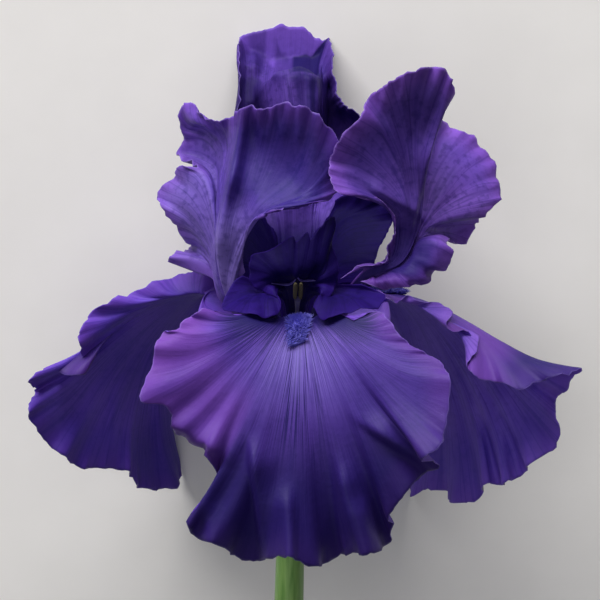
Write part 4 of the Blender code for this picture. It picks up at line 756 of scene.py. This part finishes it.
def sheet_piece(name, grid, thickness, node, looks):
    """A thin closed blade on a grid of points, with its growth kept for its colours."""
    rows, columns = grid.shape[0] - 1, grid.shape[1] - 1
    shape = bmesh.new()
    bmesh.ops.create_grid(shape, x_segments=columns, y_segments=rows, size=1.0)
    data = new_mesh(name, shape)
    flat = np.empty(3 * len(data.vertices), np.float32)
    data.vertices.foreach_get("co", flat)
    flat = flat.reshape(-1, 3)
    column = np.rint((flat[:, 0] + 1.0) / 2.0 * columns).astype(int)
    row = np.rint((flat[:, 1] + 1.0) / 2.0 * rows).astype(int)
    places = laid(grid)[row, column]
    places[:, 2] = np.maximum(places[:, 2], thickness / 2 * MM)
    data.vertices.foreach_set("co", places.astype(np.float32).ravel())
    grown = growth_of(grid)[row, column]
    growth = data.attributes.new("growth", "FLOAT_VECTOR", "POINT")
    growth.data.foreach_set("vector", grown.astype(np.float32).ravel())
    data.update()
    piece = piece_object(name, data, node, looks)
    flesh = piece.vertex_groups.new(name="flesh")
    for place, inward in enumerate(grown[:, 2]):
        flesh.add([place], min(1.0, EDGE_SHARE + inward / EDGE_TAPER), "REPLACE")
    wall = piece.modifiers.new("Thickness", "SOLIDIFY")
    wall.vertex_group = flesh.name
    wall.thickness = thickness * MM
    wall.offset = 0.0
    wall.material_offset = len(looks) - 1
    applied(piece)
    # Nothing reaches below the surface that the flower lies on
    for vertex in piece.data.vertices:
        vertex.co.z = max(0.0, vertex.co.z)


def applied(piece):
    """Applies the piece's modifiers, so that its mesh is final."""
    graph = bpy.context.evaluated_depsgraph_get()
    data = bpy.data.meshes.new_from_object(piece.evaluated_get(graph), depsgraph=graph)
    data.name = piece.name
    piece.modifiers.clear()
    piece.data = data


def add_tube(mesh, rings, look=0):
    """Adds a tube through rings of points in millimetres, each ring in order round its path."""
    rings = laid(rings)
    count, sides = rings.shape[0] - 1, rings.shape[1]
    made = bmesh.ops.create_grid(mesh, x_segments=sides, y_segments=count, size=1.0)["verts"]
    for vertex in made:
        column = round((vertex.co.x + 1.0) / 2.0 * sides) % sides
        row = round((vertex.co.y + 1.0) / 2.0 * count)
        vertex.co = Vector(rings[row, column])
    for vertex in made:
        for face in vertex.link_faces:
            face.material_index = look


def tube_piece(name, mesh, node, looks):
    """Closes the tubes of a mesh and makes them a piece."""
    bmesh.ops.remove_doubles(mesh, verts=mesh.verts, dist=WELD)
    rims = [edge for edge in mesh.edges if edge.is_boundary]
    bmesh.ops.holes_fill(mesh, edges=rims, sides=0)
    bmesh.ops.recalc_face_normals(mesh, faces=mesh.faces)
    data = new_mesh(name, mesh)
    piece = piece_object(name, data, node, looks)
    data.set_sharp_from_angle(angle=SHARP_EDGE)
    return piece


def round_path(path, radii, sides, flat=1.0):
    """Rings of points round a smooth path, with the side axis kept level."""
    path = np.asarray(path, float)
    heading = unit(np.gradient(path, axis=0))
    side = unit(np.cross(heading, np.array(LEVEL_HINT)))
    lift = np.cross(side, heading)
    turn = np.linspace(0.0, 2.0 * np.pi, sides, endpoint=False)[:, None, None]
    radii = np.asarray(radii, float)[None, :, None]
    rings = path[None] + radii * (side * np.cos(turn) + flat * lift * np.sin(turn))
    return rings.transpose(1, 0, 2)


def colour(code):
    """Turns an sRGB hex value to a linear colour."""
    parts = [int(code[k:k + 2], 16) / 255.0 for k in (1, 3, 5)]
    linear = [p / 12.92 if p <= 0.04045 else ((p + 0.055) / 1.055) ** 2.4 for p in parts]
    return (*linear, 1.0)


def add(tree, kind, inputs=None, stops=None, **settings):
    """Adds a node with its settings, its colour stops, and its inputs set or linked."""
    node = tree.nodes.new(kind)
    for key, value in settings.items():
        setattr(node, key, value)
    for key, value in (inputs or {}).items():
        if isinstance(value, bpy.types.NodeSocket):
            tree.links.new(value, node.inputs[key])
        else:
            node.inputs[key].default_value = value
    if stops:
        ramp = node.color_ramp.elements
        while len(ramp) < len(stops):
            ramp.new(1.0)
        for element, (place, value) in zip(ramp, stops):
            element.position = place
            element.color = value
    return node


def new_look(name, **sockets):
    """A Principled material, its tree and its shader, with the values that are even all over."""
    look = bpy.data.materials.new(name)
    look.use_nodes = True
    tree = look.node_tree
    shader = tree.nodes["Principled BSDF"]
    for key, value in sockets.items():
        shader.inputs[key.replace("_", " ")].default_value = value
    return look, tree, shader


# Petal tissue's sheen and its relief of streaks and cells
PETAL_ROUGHNESS = 0.55
SHEEN_ROUGHNESS = 0.4
SHEEN_TINT = "#8c70d4"
RELIEF = (("vein", 0.2), ("mottle", 0.9), ("cells", 0.25))
RELIEF_STRENGTH = 0.3
RELIEF_DEPTH = 0.0004
TISSUE_DETAIL = 4.0
TISSUE_RELIEF = 0.6

# Streaks drawn out along a petal's veins: width and length in millimetres, place and detail
STREAKS = {
    "broad": (3, 40, 3.7, 3),
    "fine": (0.6, 18, 9.1, 3),
    "vein": (1.15, 70, 5.3, 1),
    "stroke": (0.55, 50, 2.2, 1),
}

# Noise in the piece's own metres: clouds 22 mm across, mottles 2 mm, and cells 0.3 mm
MOTTLES = {"cloud": (45, 2), "mottle": (500, 3), "cells": (3200, 1)}


def rising(value, low, high, end=1):
    """A range over which a layer comes in."""
    return value, low, high, 0, end


def falling(value, low, high, start=1):
    """A range over which a layer goes."""
    return value, low, high, start, 0


def band(value, low, full, ebb, high, strength=1):
    """A range that rises, and one that falls again."""
    return rising(value, low, full, strength), falling(value, ebb, high)


VEINS = band("vein", 0.455, 0.492, 0.508, 0.545)

# A layer of colour is a shade, and ranges (value, from, to, start, end) whose product it is laid
# on with. The values are a petal's growth in millimetres, its place to the right and up along
# the flower in metres, its streaks and its mottles
TISSUE_LAYERS = (
    ("light", (rising("cloud", 0.3, 0.7),)),
    ("deep", (rising("broad", 0.4, 0.7, 0.14),)),
    ("deep", (rising("fine", 0.45, 0.7, 0.3),)),
)
FALL_TOP_LAYERS = (
    ("deep", (rising("mottle", 0.48, 0.72, 0.16),)),
    # Painted light on the left lobes, and a dusky end, partly own colour and partly painted shade
    ("rim", (falling("across", -58, -32, 0.6), rising("along", 44, 56))),
    ("deep", (rising("along", 40, 80, 0.88), ("side", 28, 52, 1, 0.3))),
    ("rim", (falling("inward", 0, 11, 0.45), ("along", 66, 86, 1, 0.12))),
    # Painted light: the left flank is lighter down to its waist, as if it caught the light
    ("light", (*band("across", -50, -40, -34, -18, 0.5), *band("along", 46, 60, 64, 78))),
    ("rim", (*band("across", -50, -40, -34, -18, 0.4), *band("along", 46, 60, 64, 78))),
    # A pale halo below the beard
    ("pale", (*band("along", 24, 32, 36, 62, 0.55),
              ("side", 14, 50, 1, 0.05), ("fine", 0.3, 0.6, 1, 0.35))),
    # Dark veins from the claw, the middle ones the longest, and short strokes along the throat
    ("deep", (*VEINS, ("along", 36, 56, 0.8, 0.04))),
    ("deep", (*VEINS, falling("side", 4, 16), falling("along", 56, 78, 0.9))),
    ("deep", (*band("stroke", 0.37, 0.46, 0.54, 0.63), rising("up", 0.012, 0.019),
              *band("right", -0.028, -0.018, 0.016, 0.025))),
    # Painted shade under the style arms, along the fall's top edge
    ("deep", (rising("up", 0.0165, 0.0222, 0.97), *band("right", -0.026, -0.017, 0.015, 0.024))),
    # Painted shade on the right lobes, away from the light, and a pale line follows the midrib
    ("deep", (rising("across", 24, 42, 0.3), rising("along", 42, 54))),
    ("pale", (falling("side", 0.8, 4, 0.22), falling("along", 40, 54))),
)
FALL_UNDER_LAYERS = (
    ("deep", (rising("mottle", 0.48, 0.72, 0.25),)),
    ("rim", (falling("inward", 0, 10, 0.5),)),
    ("deep", band("vein", 0.455, 0.492, 0.508, 0.545, 0.35)),
    ("deep", (falling("along", 96, 78, 0.45),)),
)
STANDARD_LAYERS = (
    ("deep", (rising("mottle", 0.46, 0.7, 0.42),)),
    ("rim", (falling("inward", 0, 9, 0.45),)),
    ("deep", band("vein", 0.455, 0.492, 0.508, 0.545, 0.3)),
)
LEFT_STANDARD_LAYERS = (
    # Painted shade beyond the keel, and painted light on the claw's sweep and the lobes before it
    ("deep", (rising("across", -2, 5, 0.72), rising("along", 46, 64))),
    ("pale", (rising("across", -14, 4, 0.42), falling("along", 40, 60))),
    ("pale", (falling("across", -24, -10, 0.22),)),
)
RIGHT_STANDARD_LAYERS = (
    # Painted shade: a dusky page, a dark fold behind the apron, and dusk down towards the claw
    ("deep", (falling("across", -4, 2, 0.62), ("inward", 0, 12, 0.6, 1))),
    ("deep", (rising("across", 24, 32, 0.8), falling("along", 50, 60))),
    ("deep", (falling("along", 44, 60, 0.55),)),
)
# Where the back standard comes up out of the throat, along its growth
CROWN_FOOT = rising("along", 66, 74)
BACK_STANDARD_LAYERS = (
    # Painted shade: it darkens down into the throat
    ("deep", (falling("along", 34, 52),)),
    # Painted light on the crown's top
    ("light", (rising("along", 96, 112, 0.6),)),
    # Painted shade: the page below the crown is dusky, more so on both its sides and by its folds
    ("deep", (CROWN_FOOT, falling("across", 6, 12, 0.5), falling("along", 116.5, 119.5),
              ("along", 84, 88.5, 0.8, 1.2), ("broad", 0.35, 0.65, 1.2, 0.8))),
    ("deep", (CROWN_FOOT, rising("across", 6, 12, 0.45), falling("along", 103, 108),
              ("broad", 0.35, 0.65, 1.2, 0.8))),
    ("deep", (CROWN_FOOT, rising("across", 14, 19, 0.6), falling("along", 89, 91.5))),
    ("deep", (CROWN_FOOT, falling("across", -1.2, 0.8, 0.5), falling("along", 88, 90))),
    ("deep", (CROWN_FOOT, falling("across", -6.5, -4.5, 0.75), rising("across", -10, -8),
              falling("along", 86, 88))),
    # Painted shade in a dusky furrow up the crown's left side
    ("deep", (*band("across", 15.5, 18, 23.5, 26, 0.38), rising("along", 92, 98))),
    # Painted shade in a dark hollow beside the crown's middle
    ("deep", (*band("across", -12, -10.5, -0.6, 0.4, 0.94), *band("along", 89.5, 91, 117, 118.5))),
)
STYLE_LAYERS = (
    # Painted shade: the crests are the darkest
    ("deep", (rising("up", 0.029, 0.038, 0.65),)),
)
EDGE_LAYERS = (
    # Painted light: the thin edge is painted pale, as light shows through it
    ("pale", (falling("inward", 0.1, 0.5, 0.22),)),
)


def petal_look(name, codes, layers, sheen, shine):
    """Petal tissue in layers of colour, with a relief of cells and streaks and a soft sheen."""
    look, tree, shader = new_look(
        name, Roughness=PETAL_ROUGHNESS, Sheen_Weight=sheen, Sheen_Roughness=SHEEN_ROUGHNESS,
        Sheen_Tint=colour(SHEEN_TINT), Specular_IOR_Level=shine,
    )
    shades = dict(zip(("light", "mid", "deep", "rim", "pale"), map(colour, codes)))
    growth = add(tree, "ShaderNodeAttribute", attribute_name="growth").outputs["Vector"]
    across, along_claw, inward = add(tree, "ShaderNodeSeparateXYZ", {0: growth}).outputs
    side = add(tree, "ShaderNodeMath", {0: across}, operation="ABSOLUTE").outputs[0]
    values = {"across": across, "along": along_claw, "inward": inward, "side": side}
    for key, (width, length, seed, detail) in STREAKS.items():
        size = (1.0 / width, 1.0 / length, 0.0)
        drawn = {"Vector": growth, "Scale": size, "Location": (0.0, 0.0, seed)}
        place = add(tree, "ShaderNodeMapping", drawn).outputs[0]
        noise = {"Vector": place, "Scale": 1.0, "Detail": detail}
        values[key] = add(tree, "ShaderNodeTexNoise", noise).outputs[0]
    place = add(tree, "ShaderNodeTexCoord").outputs["Object"]
    values["right"], values["up"] = add(tree, "ShaderNodeSeparateXYZ", {0: place}).outputs[:2]
    for key, (scale, detail) in MOTTLES.items():
        noise = {"Vector": place, "Scale": scale, "Detail": detail}
        values[key] = add(tree, "ShaderNodeTexNoise", noise).outputs[0]
    base = shades["mid"]
    for shade, ranges in TISSUE_LAYERS + layers + EDGE_LAYERS:
        strength = 1.0
        for value, low, high, start, end in ranges:
            span = {"Value": values[value], 1: low, 2: high, 3: start, 4: end}
            part = add(tree, "ShaderNodeMapRange", span, interpolation_type="SMOOTHSTEP").outputs[0]
            terms = {0: strength, 1: part}
            strength = add(tree, "ShaderNodeMath", terms, operation="MULTIPLY").outputs[0]
        mix = {0: strength, 6: base, 7: shades[shade]}
        base = add(tree, "ShaderNodeMix", mix, data_type="RGBA").outputs[2]
    tree.links.new(base, shader.inputs["Base Color"])
    relief = values["fine"]
    for key, share in RELIEF:
        terms = {0: values[key], 1: share, 2: relief}
        relief = add(tree, "ShaderNodeMath", terms, operation="MULTIPLY_ADD").outputs[0]
    raised = {"Strength": RELIEF_STRENGTH, "Distance": RELIEF_DEPTH, "Height": relief}
    bump = add(tree, "ShaderNodeBump", raised)
    tree.links.new(bump.outputs[0], shader.inputs["Normal"])
    return look


def tissue_look(name, stops, scale, roughness, relief_depth, stretch=(1.0, 1.0, 1.0)):
    """Plain plant tissue: a mottled colour and a fine bump, in the piece's own metres."""
    look, tree, shader = new_look(name, Roughness=roughness)
    place = add(tree, "ShaderNodeTexCoord").outputs["Object"]
    drawn = add(tree, "ShaderNodeMapping", {"Vector": place, "Scale": stretch}).outputs[0]
    grain = {"Vector": drawn, "Scale": scale, "Detail": TISSUE_DETAIL}
    noise = add(tree, "ShaderNodeTexNoise", grain).outputs[0]
    stops = [(share, colour(code)) for share, code in stops]
    shades = add(tree, "ShaderNodeValToRGB", {"Fac": noise}, stops)
    tree.links.new(shades.outputs[0], shader.inputs["Base Color"])
    raised = {"Strength": TISSUE_RELIEF, "Distance": relief_depth, "Height": noise}
    bump = add(tree, "ShaderNodeBump", raised)
    tree.links.new(bump.outputs[0], shader.inputs["Normal"])
    return look


# Each petal's finish: its material, its shades (light, mid, deep, rim and pale), its layers, and
# its sheen and shine
PETAL_FINISHES = {
    # Velvet: blue-violet with a pale halo under the beard and a dusky end, almost without shine
    "fall_top": (
        "velvet_fall_tissue", ("#6040aa", "#4e3298", "#170d54", "#7a44ac", "#8e80d2"),
        FALL_TOP_LAYERS, 0.08, 0.2),
    # The undersides look plainer and darker, with faint veins
    "fall_under": (
        "fall_underside_tissue", ("#6446b8", "#5439ac", "#2c1f80", "#6e3eb0", "#7e6acc"),
        FALL_UNDER_LAYERS, 0.08, 0.2),
    # The right underside is a lighter copy: painted light where the key lamp leaves it in shade
    "painted_light_right_underside": (
        "painted_light_underside_tissue_right", ("#8464d6", "#7254cc", "#3e2e9c", "#8e5cd0", "#9886dc"),
        FALL_UNDER_LAYERS, 0.08, 0.2),
    # Silk: thinner and lighter than the falls, in soft violet pages that fold at the keel
    "standard_left": (
        "silky_left_standard_tissue", ("#6849b0", "#573ca4", "#1e1464", "#7244b0", "#9c8ad6"),
        LEFT_STANDARD_LAYERS + STANDARD_LAYERS, 0.07, 0.2),
    "standard_right": (
        "silky_right_standard_tissue", ("#7c58c0", "#6a4ab4", "#20155e", "#8450bc", "#a896de"),
        RIGHT_STANDARD_LAYERS + STANDARD_LAYERS, 0.02, 0.12),
    "standard_back": (
        "silky_back_standard_tissue", ("#6c4cb2", "#5a3ea6", "#1a1150", "#6e42ae", "#9c8ad6"),
        STANDARD_LAYERS + BACK_STANDARD_LAYERS, 0, 0.1),
    # Dark satin: the deep violet of the throat, partly own colour and partly painted shade
    "style": (
        "satin_style_tissue", ("#1e0f5a", "#150948", "#07032a", "#2c1570", "#3c2486"),
        STANDARD_LAYERS + STYLE_LAYERS, 0, 0.04),
}

# Each plain finish: its material, its colours by place in the mottle, the mottle's scale, its
# roughness, the depth of its bump in metres, and how it is stretched
TISSUE_FINISHES = {
    # A paler sliver in the dark throat
    "lip": ("stigma_lip_tissue", [(0.3, "#4a3a92"), (0.7, "#6a5cb4")], 800, 0.45, 0.0001),
    # Fleshy blue hairs on a duller ridge, which read as one soft tuft
    "beard_core": ("beard_ridge", [(0.35, "#403c9a"), (0.7, "#5652b4")], 900, 0.6, 0.0003),
    "beard_hair": ("fleshy_beard_hair", [(0.35, "#5854b6"), (0.7, "#7772d2")], 700, 0.55, 0.0001),
    # Smooth pale lilac stalks
    "filament": ("filament_tissue", [(0.3, "#4a4274"), (0.7, "#6a6296")], 500, 0.5, 0.0001),
    # Powdery tan sacs, dull and grainy with pollen
    "anther": ("dusty_anther", [(0.3, "#3e3826"), (0.7, "#645b3c")], 2600, 0.85, 0.0002),
    # Waxy greens, streaked lengthwise, with a soft satin shine
    "ovary": (
        "waxy_ovary_skin", [(0.3, "#567f3c"), (0.7, "#7ca65a")], 260, 0.42, 0.0002,
        (3, 0.35, 3)),
    "stem": (
        "waxy_stem_skin", [(0.3, "#5d8a3e"), (0.7, "#86ad5e")], 300, 0.42, 0.0002,
        (3, 0.2, 3)),
    # Moist pale grain at the cut
    "pith": ("moist_stem_pith", [(0.3, "#a9bd7c"), (0.7, "#cdd8a4")], 1800, 0.35, 0.0002),
    # Dry bracts, from green to straw, in long matt streaks
    "bract": (
        "dry_bract_skin", [(0.25, "#6f8a4b"), (0.55, "#a0a268"), (0.8, "#c4b183")],
        180, 0.65, 0.0003, (2, 0.3, 2)),
    # A plain matt floor, an even pale grey
    "floor": ("matt_studio_floor", [(0.3, "#eceae6"), (0.7, "#f0eeea")], 40, 0.8, 0.0001),
}


def make_looks():
    """Every finish of the flower, named for its tissue."""
    looks = {key: petal_look(*finish) for key, finish in PETAL_FINISHES.items()}
    for key, finish in TISSUE_FINISHES.items():
        looks[key] = tissue_look(*finish)
    return looks


def petal_grid(name, veins):
    rows, columns = PETAL_FACES
    return folded(name, blade(veins, np.linspace(0.0, 1.0, rows + 1), columns))


def fall_piece(name, looks):
    grid = petal_grid(name, fall_veins(name))
    grid = ruffled(grid, FALL_RUFFLES, FALL_TEETH, 1.0, len(name) * FALL_SEED)
    sheet_piece("velvet_" + name, grid, PETAL_SHEET, name, looks)


def standard_piece(name, looks):
    grid = petal_grid(name, standard_veins(name))
    strength = 1.0
    if name == "standard_back":
        grid = folded("crown", grid)
        strength = CROWN_RUFFLE
    grid = ruffled(grid, STANDARD_RUFFLES, STANDARD_TEETH, strength, len(name) * STANDARD_SEED)
    sheet_piece("silky_" + name, grid, PETAL_SHEET, name, looks)


def style_pieces(look):
    """The three style arms, of which the rear left one mirrors the rear right one."""
    crests = [[flower_point(0.0, *point) for point in points] for points in STYLE_FRONT_VEINS]
    rear = style_veins(120.0, [seen(points) for points in STYLE_REAR_VEINS])
    arms = {
        "style_front": (style_veins(0.0, crests, [STYLE_FRONT_NECK]), STYLE_FRONT_FACES),
        "style_right": (rear, STYLE_REAR_FACES),
        "style_left": (mirrored(rear), STYLE_REAR_FACES),
    }
    for name, (veins, (rows, columns)) in arms.items():
        grid = blade(veins, np.linspace(0.0, 1.0, rows + 1), columns)
        grid = ruffled(grid, FALL_RUFFLES, FALL_TEETH, STYLE_RUFFLE, STYLE_SEED)
        sheet_piece("satin_" + name, grid, STYLE_SHEET, name, [look])


def lip_piece(look):
    """The stigma's lip, which stands out a little from the front style arm."""
    rows, columns = LIP_FACES
    knots = np.arange(len(LIP), dtype=float)
    line = hermite(np.array(LIP, float), knots, np.linspace(0.0, knots[-1], columns + 1))
    turn = np.linspace(LIP_ROUNDING, np.pi - LIP_ROUNDING, columns + 1)
    breadth = np.sin(turn)[:, None] * np.array(LIP_SLOPE)
    grid = line + np.linspace(-1.0, 1.0, rows + 1)[:, None, None] * breadth
    sheet_piece("satin_stigma_lip", grid, LIP_SHEET, "style_front", [look])


def bract_pieces(look):
    """Papery bracts that clasp the stem, wrap the ovary and run out to a tip."""
    rows, columns = BRACT_FACES
    wave, across, upward = BRACT_WAVE
    shares = np.linspace(0.0, 1.0, rows + 1)
    places = np.linspace(-1.0, 1.0, columns + 1)
    for name, (azimuth, base, tip, wrap, out) in BRACTS.items():
        grid = np.empty((rows + 1, columns + 1, 3))
        for row, share in enumerate(shares):
            reach = wrap * math.sqrt(1.0 - share ** BRACT_TAPER) + BRACT_TIP_ANGLE
            height = base + (tip - base) * share
            opened = math.sin(min(1.0, share / BRACT_FOOT_SHARE) * math.pi / 2)
            away = BRACT_FOOT_OUT + (out - BRACT_FOOT_OUT) * opened
            for column, place in enumerate(places):
                swell = wave * math.sin(across * place + upward * share) * share
                swing = azimuth + reach * place
                grid[row, column] = flower_point(swing, 0.0, away + swell, height)
        sheet_piece("papery_" + name, grid, BRACT_SHEET, name, [look])


def axis_rings(heights, radii, sides, swelling):
    """Rings round the flower's axis, swollen by a rule of the row and the azimuth."""
    azimuths = [360.0 * k / sides for k in range(sides)]
    return np.array([
        [flower_point(turn, 0.0, radius * swelling(row, turn), height) for turn in azimuths]
        for row, (height, radius) in enumerate(zip(heights, radii))
    ])


def ovary_piece(look):
    """The ribbed ovary, and above it the tube that widens to the rim."""
    profile = np.array(OVARY_PROFILE)
    heights = np.linspace(profile[0, 0], profile[-1, 0], OVARY_RINGS + 1)
    radii = hermite(profile[:, 1:], profile[:, 0], heights)[:, 0]

    def ribbed(row, azimuth):
        belly = max(0.0, 1.0 - abs(heights[row] - OVARY_MIDDLE) / OVARY_REACH)
        return 1.0 + OVARY_RIB_DEPTH * belly * math.cos(math.radians(OVARY_RIBS * azimuth))

    mesh = bmesh.new()
    add_tube(mesh, axis_rings(heights, radii, OVARY_SIDES, ribbed))
    tube_piece("waxy_ovary_tube", mesh, "ovary_tube", [look])


def stem_piece(look, pith):
    """The cut stem, a little uneven, with its pale pith showing at the cut."""
    shares = np.linspace(0.0, 1.0, STEM_RINGS + 1)
    heights = STEM_TOP + (STEM_END - STEM_TOP) * shares
    radii = STEM_RADIUS + (STEM_END_RADIUS - STEM_RADIUS) * shares

    def uneven(row, azimuth):
        turn = STEM_TWIST * shares[row] + math.radians(2.0 * azimuth)
        return 1.0 + STEM_UNEVEN * math.sin(turn)

    mesh = bmesh.new()
    add_tube(mesh, axis_rings(heights, radii, STEM_SIDES, uneven))
    piece = tube_piece("waxy_stem", mesh, "stem", [look, pith])
    for face in piece.data.polygons:
        if len(face.vertices) == STEM_SIDES:
            face.material_index = 1


def stamen_piece(name, azimuth, filament_look, anther_look):
    """A filament that carries the two long sacs of its anther side by side."""
    path = np.array(STAMEN_PATH)
    stalk = path[:ANTHER_START + 1]
    sacs = path[ANTHER_START:]
    mesh = bmesh.new()
    places = np.linspace(0.0, 1.0, STAMEN_RINGS + 1)
    line = along(np.array([(out, height, 0.0) for out, height, _ in stalk]), places)
    centre = np.array([flower_point(azimuth, 0.0, out, height) for out, height, _ in line])
    radii = np.interp(places, np.linspace(0.0, 1.0, len(stalk)), stalk[:, 2] * FILAMENT_SHARE)
    add_tube(mesh, round_path(centre, radii, STAMEN_SIDES))
    line = along(np.array([(out, height, 0.0) for out, height, _ in sacs]), places)
    swell = np.sqrt(np.clip(1.0 - (2.0 * places - 1.0) ** 4, THECA_END, 1.0))
    radii = THECA_RADIUS * swell
    for side in (-THECA_OFFSET, THECA_OFFSET):
        centre = np.array([flower_point(azimuth, side, out, height) for out, height, _ in line])
        add_tube(mesh, round_path(centre, radii, STAMEN_SIDES, THECA_DEPTH), 1)
    tube_piece("pollen_" + name, mesh, name, [filament_look, anther_look])


def beard_piece(name, fall, core_look, hair_look):
    """A ridge along the fall's midrib, thick with curved fleshy hairs."""
    shares = np.linspace(BEARD_START, BEARD_END, BEARD_ROWS + 1)
    grid = blade(fall_veins(fall), shares, BEARD_COLUMNS)
    middle = grid[:, BEARD_COLUMNS // 2]
    across = unit(grid[:, BEARD_COLUMNS // 2 + 1] - grid[:, BEARD_COLUMNS // 2 - 1])
    forward = unit(np.gradient(middle, axis=0))
    lift = unit(np.cross(forward, across))
    places = np.linspace(0.0, 1.0, BEARD_ROWS + 1)
    taper = np.sin(np.pi * (BEARD_BLUNT + (1 - 2 * BEARD_BLUNT) * places)) ** BEARD_ROUNDING
    turn = np.linspace(0.0, 2.0 * np.pi, BEARD_SIDES, endpoint=False)[:, None]
    rings = []
    for k in range(BEARD_ROWS + 1):
        rise = PETAL_SHEET / 2 + BEARD_RISE * RIDGE_SHARE * taper[k] * (1.0 + np.sin(turn)) / 2
        side = BEARD_HALF_WIDTH * taper[k] * np.cos(turn)
        rings.append(middle[k] + across[k] * side + lift[k] * rise)
    mesh = bmesh.new()
    add_tube(mesh, np.array(rings))
    steps = np.linspace(0.0, 1.0, HAIR_RINGS + 1)[:, None]
    radii = HAIR_RADIUS * (1.0 - HAIR_NARROWING * steps[:, 0])
    radii[-1] *= HAIR_TIP
    chance = random.Random(BEARD_SEED + len(fall))
    for _ in range(BEARD_HAIRS):
        row = chance.randrange(0, BEARD_ROWS)
        side = chance.uniform(-HAIR_ROOM, HAIR_ROOM)
        round_rise = BEARD_RISE * HAIR_ROOT_SHARE * taper[row] * math.sqrt(1.0 - side * side)
        root = middle[row] + across[row] * side * BEARD_HALF_WIDTH * taper[row]
        root = root + lift[row] * (PETAL_SHEET / 2 + round_rise)
        outward = side * HAIR_OUTWARD + chance.uniform(-HAIR_SPREAD, HAIR_SPREAD)
        onward = HAIR_FORWARD + chance.uniform(-HAIR_SPREAD, HAIR_SPREAD)
        heading = unit(lift[row] + across[row] * outward + forward[row] * onward)
        length = HAIR_LENGTH * chance.uniform(*HAIR_LENGTHS)
        length *= HAIR_END_LENGTH + HAIR_MIDDLE_LENGTH * taper[row]
        droop = (forward[row] + across[row] * side) * HAIR_DROOP
        path = root + (heading * (steps * length - HAIR_SINK)) + droop * steps ** 2 * length
        add_tube(mesh, round_path(path, radii, HAIR_SIDES), 1)
    tube_piece("fleshy_" + name, mesh, name, [core_look, hair_look])


def add_floor(look):
    shape = bmesh.new()
    bmesh.ops.create_grid(shape, x_segments=1, y_segments=1, size=FLOOR_SIZE / 2)
    data = new_mesh("floor", shape)
    data.materials.append(look)
    floor = placed("floor", data)


def add_camera():
    """The camera, at the eye that the ruler readings are taken from."""
    right = Vector((1.0, 0.0, 0.0))
    up = Vector((0.0, math.cos(LEAN), -math.sin(LEAN)))
    back = Vector((0.0, math.sin(LEAN), math.cos(LEAN)))
    lens = bpy.data.cameras.new("camera")
    lens.lens = CAMERA_LENS
    lens.sensor_width = CAMERA_SENSOR
    lens.clip_start = CAMERA_NEAR
    camera = placed("camera", lens)
    heart = Vector(laid((HEART_TOWARD, 0.0, 0.0)))
    turn = Matrix((right, up, back)).transposed().to_4x4()
    camera.matrix_world = Matrix.Translation(heart + back * EYE_DISTANCE * MM) @ turn
    bpy.context.scene.camera = camera


def add_lights():
    for name, (spot, width, depth, power, tint) in LAMPS.items():
        light = bpy.data.lights.new(name, "AREA")
        light.shape = "RECTANGLE"
        light.size = width
        light.size_y = depth
        light.energy = power
        light.color = tint
        place = Vector(spot)
        turn = (Vector(LAMP_AIM) - place).to_track_quat("-Z", "Y").to_matrix().to_4x4()
        placed(name, light).matrix_world = Matrix.Translation(place) @ turn
    world = bpy.data.worlds.new("studio")
    bpy.context.scene.world = world
    bpy.context.scene.view_settings.view_transform = "Standard"
    world.use_nodes = True
    sky = world.node_tree.nodes["Background"]
    sky.inputs["Color"].default_value = SKY_TINT
    sky.inputs["Strength"].default_value = SKY_STRENGTH


def main():
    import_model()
    add_camera()
    add_lights()
    looks = make_looks()
    add_floor(looks["floor"])
    for fall, azimuth in FALL_AZIMUTHS.items():
        # The right fall's underside takes a lighter copy of its finish, which is painted light
        under = looks["painted_light_right_underside" if fall == "fall_right" else "fall_under"]
        fall_piece(fall, [under, looks["fall_top"]])
        organ = fall.replace("fall", "stamen")
        stamen_piece(organ, azimuth, looks["filament"], looks["anther"])
        beard_piece(fall.replace("fall", "beard"), fall, looks["beard_core"], looks["beard_hair"])
    for standard in STANDARD_AZIMUTHS:
        standard_piece(standard, [looks[standard]])
    style_pieces(looks["style"])
    lip_piece(looks["lip"])
    ovary_piece(looks["ovary"])
    stem_piece(looks["stem"], looks["pith"])
    bract_pieces(looks["bract"])


main()
